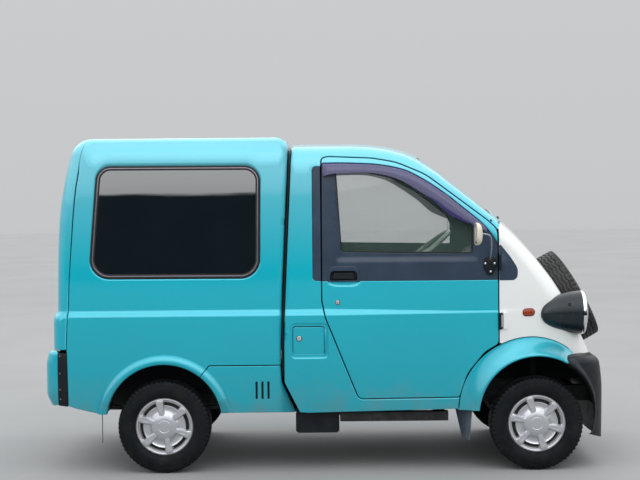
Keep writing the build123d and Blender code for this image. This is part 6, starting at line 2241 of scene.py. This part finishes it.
# ------------------------------------------------------------------ wipers, hinge pins, tailgate handle
wh = Heap()
for yp, yb in ((26.0, -150.0), (372.0, 190.0)):
    def on(x, y, up):
        return TOP_CAB.xyz(np.array([[x - y * y / 4000.0, y]]), up)[0]
    piv = on(903, yp, 1)
    v, f = lathe(piv, (0.66, 0, 0.75), [(-8, 0), (-8, 9), (3, 8.5), (6, 6), (7, 0)], 24)
    wh.add(v, f, 0)
    arm = smooth_path([piv + [0, 0, 4], on(897, yp - 40, 7), on(888, yp - 100, 8), on(884, yb, 7)], 9.0)
    v, f = tube(arm, np.linspace(5.2, 3.0, len(arm)), 10)
    wh.add(v, f, 0)
    bl = np.array([on(885, y, 3.0) for y in np.linspace(yb - 150, yb + 150, 40)])
    v, f = tube(bl, 2.4, 8)
    wh.add(v, f, 1)
    bl2 = np.array([on(885, y, 6.0) for y in np.linspace(yb - 105, yb + 105, 30)])
    v, f = tube(bl2, 2.2, 8)
    wh.add(v, f, 0)
wh.put("wiper_arms_blades", [BLACK, SEAL], "chassis", sharp=40, replaces=("wipers",), slot="black_plastic")

hp_ = Heap()
for s in (-1, 1):
    for zc, L in ((1027.0, 76.0), (738.0, 82.0)):
        v, f = lathe((831, s * 614, zc - L / 2), (0, 0, 1), [(0, 0), (0, 6.4), (0.6, 7), (L - 0.6, 7), (L, 6.4), (L, 0)], 24)
        hp_.add(v, f, 0)
    v, f = lathe((-1204, s * 300 - 45, 1660.5), (0, 1, 0), [(0, 0), (0, 3.6), (0.5, 4), (29.5, 4), (29.7, 3.6), (30.3, 3.6), (30.5, 4), (59.5, 4), (59.7, 3.6), (60.3, 3.6), (60.5, 4),
                                                          (89.5, 4), (90, 3.6), (90, 0)], 20)
    hp_.add(v, f, 1)
v, f = lathe((-31, -621, 590), (0, 0, 1), [(0, 0), (0, 2.6), (0.5, 3), (119.5, 3), (120, 2.6), (120, 0)], 16)
hp_.add(v, f, 1)
hp_.put("hinge_barrels", [BLACK, TEAL], "chassis", sharp=40, replaces=("hinge_pins",), slot="black_plastic")

# tailgate handle with its lock
th_ = Heap()
hz = rows_to_poly([(-78, 892, 12), (78, 892, 12), (78, 934, 12), (-78, 934, 12)], 5.0)
hparts = []
panel("", GATE_FAN, GATE_FAN.uv(REAR_END.xyz(hz)), [], heap=hparts, step=9, edge=4.0, depth=6, level=9.0)
put_parts("tailgate_handle", hparts, [BLACK, BLACK], "tailgate")
hq = REAR_END.xyz(np.array([[0.0, 862.0]]))[0]
v, f = lathe(hq, (-1, 0, 0), [(-3, 0), (-3, 13), (1.2, 12.6), (2.2, 10.6), (4.0, 9.6), (4.6, 7.6), (3.6, 5.6), (3.2, 0)], 32)
th_.add(v, f, 0)
v, f = round_box(hq[0] - 4.2, hq[0] - 2.6, -0.9, 0.9, hq[2] - 3.6, hq[2] + 3.6, 0.3, 1)
th_.add(v, f, 1)
th_.put("tailgate_lock", [CHROME, BLACK], "tailgate", sharp=35)

# ------------------------------------------------------------------ plain looks for the nodes that stay
LOOK = {
    "frame_rails": CHASSIS, "cross_members": CHASSIS, "towing_eye": CHASSIS, "cab_floor": CHASSIS, "cargo_floor": CHASSIS, "wheel_liners": BLACK,
    "engine": CAST, "propshaft": STEEL, "exhaust": STEEL, "rear_axle": CAST, "leaf_springs": CHASSIS, "rear_shocks": CHASSIS,
    "front_suspension": GAP, "left_knuckle": GAP, "right_knuckle": GAP, "seat_base": CHASSIS, "steering_column": TRIM, "nose_cup": WHITE,
    "spare_carrier": CHASSIS, "fuel_tank": BLACK, "cab_shell": TEAL, "nose_panel": WHITE, "right_door": TEAL, "left_door": TEAL,
    "right_door_glass": GLASS, "left_door_glass": GLASS, "windscreen": GLASS, "cargo_shell": TEAL, "tailgate": TEAL, "tailgate_glass": DARKGLASS,
    "cargo_side_glass": DARKGLASS, "side_skirts": TEAL, "wheel_arch_flares": TEAL, "front_bumper": BLACK, "rear_bumper": TEAL,
    "signal_lamps": AMBER, "headlight_pods": POD, "headlights": LENS, "spare_tyre": TYRE, "spare_wheel": SILVER, "mud_flaps": FLAP,
    "seat_cushions": TRIM, "seat_backs": TRIM, "dashboard": TRIM, "steering_wheel": TRIM, "fuel_lid": TEAL, "right_mirror": BLACK,
    "left_mirror": BLACK, "wipers": BLACK, "hinge_pins": BLACK,
}
for w in ("front_right", "front_left", "rear_right", "rear_left"):
    LOOK[w + "_tyre"] = TYRE
    LOOK[w + "_wheel"] = SILVER
for n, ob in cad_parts.items():
    ob.data.materials.clear()
    ob.data.materials.append(LOOK.get(n, CHASSIS))

# ------------------------------------------------------------------ floor, light
floor_mat, nt, b = new_mat("pale_floor")
v = coords(nt)
c = mix(nt, to_range(nt, noise(nt, v, 0.8, 4.0), 0.3, 0.7, 0.0, 1.0), srgb(144, 144, 144), srgb(152, 152, 151))
c = mix(nt, to_range(nt, noise(nt, v, 160.0, 6.0, 0.7), 0.45, 0.7, 0.0, 0.5), c, srgb(128, 128, 128))
nt.links.new(c, b.inputs["Base Color"])
b.inputs["Roughness"].default_value = 0.9
me = bpy.data.meshes.new("floor")
R = 40.0
me.from_pydata([(-R, -R, -0.0005), (R, -R, -0.0005), (R, R, -0.0005), (-R, R, -0.0005)], [], [(0, 1, 2, 3)])
me.materials.append(floor_mat)
floor = bpy.data.objects.new("floor", me)
bpy.context.scene.collection.objects.link(floor)

world = bpy.data.worlds.new("sky")
bpy.context.scene.world = world
world.use_nodes = True
wn = world.node_tree
bg = wn.nodes["Background"]
tc = wn.nodes.new("ShaderNodeTexCoord")
sp = wn.nodes.new("ShaderNodeSeparateXYZ")
wn.links.new(tc.outputs["Generated"], sp.inputs[0])
cr = wn.nodes.new("ShaderNodeValToRGB")
e = cr.color_ramp.elements
stops = [(0.0, (0.30, 0.30, 0.30)), (0.40, (0.30, 0.30, 0.30)), (0.475, (0.56, 0.57, 0.58)), (0.583, (0.60, 0.61, 0.62)), (0.592, (1.15, 1.18, 1.21)), (0.66, (1.45, 1.48, 1.52)),
         (0.80, (1.62, 1.66, 1.70)), (1.0, (1.75, 1.79, 1.84))]
while len(e) < len(stops):
    e.new(0.5)
for el, (p, col) in zip(e, stops):
    el.position = p
    el.color = (*col, 1.0)
# a soft uneven horizon
wnoise = wn.nodes.new("ShaderNodeTexNoise")
wnoise.inputs["Scale"].default_value = 17.0
wnoise.inputs["Detail"].default_value = 8.0
wn.links.new(tc.outputs["Generated"], wnoise.inputs["Vector"])
wob = wn.nodes.new("ShaderNodeMath")
wob.operation = "MULTIPLY_ADD"
amp = wn.nodes.new("ShaderNodeMapRange")
for i, val in zip((1, 2, 3, 4), (-0.15, -0.5, 0.0, 0.05)):
    amp.inputs[i].default_value = val
wn.links.new(sp.outputs[1], amp.inputs[0])
wn.links.new(amp.outputs[0], wob.inputs[1])
wn.links.new(wnoise.outputs["Fac"], wob.inputs[0])
wn.links.new(sp.outputs[2], wob.inputs[2])
mr = wn.nodes.new("ShaderNodeMapRange")
for i, val in zip((1, 2, 3, 4), (-0.975, 1.025, 0, 1)):
    mr.inputs[i].default_value = val
wn.links.new(wob.outputs[0], mr.inputs[0])
wn.links.new(mr.outputs[0], cr.inputs[0])
# darker low band on the side that the truck's right flank faces
dk = wn.nodes.new("ShaderNodeMapRange")
for i, val in zip((1, 2, 3, 4), (-0.15, -0.55, 0, 1)):
    dk.inputs[i].default_value = val
wn.links.new(sp.outputs[1], dk.inputs[0])
lowb = wn.nodes.new("ShaderNodeMapRange")
for i, val in zip((1, 2, 3, 4), (0.592, 0.583, 0, 1)):
    lowb.inputs[i].default_value = val
wn.links.new(mr.outputs[0], lowb.inputs[0])
both_ = wn.nodes.new("ShaderNodeMath")
both_.operation = "MULTIPLY"
wn.links.new(dk.outputs[0], both_.inputs[0])
wn.links.new(lowb.outputs[0], both_.inputs[1])
wn.links.new(mix(wn, both_.outputs[0], cr.outputs[0], (0.022, 0.036, 0.046)), bg.inputs["Color"])
bg.inputs["Strength"].default_value = 1.0


def area_light(name, loc, target, size, power, col=(1, 1, 1)):
    d = bpy.data.lights.new(name, "AREA")
    d.shape = "RECTANGLE"
    d.size, d.size_y = size
    d.energy = power
    d.color = col
    o = bpy.data.objects.new(name, d)
    bpy.context.scene.collection.objects.link(o)
    o.location = loc
    o.rotation_euler = (Vector(target) - Vector(loc)).to_track_quat("-Z", "Y").to_euler()
    return o


area_light("key_above", (0.8, -4.2, 6.0), (0, 0, 0.8), (7.0, 4.0), 60)
area_light("fill_left", (-3.5, 5.5, 5.5), (0, 0, 0.8), (6.0, 4.0), 30)
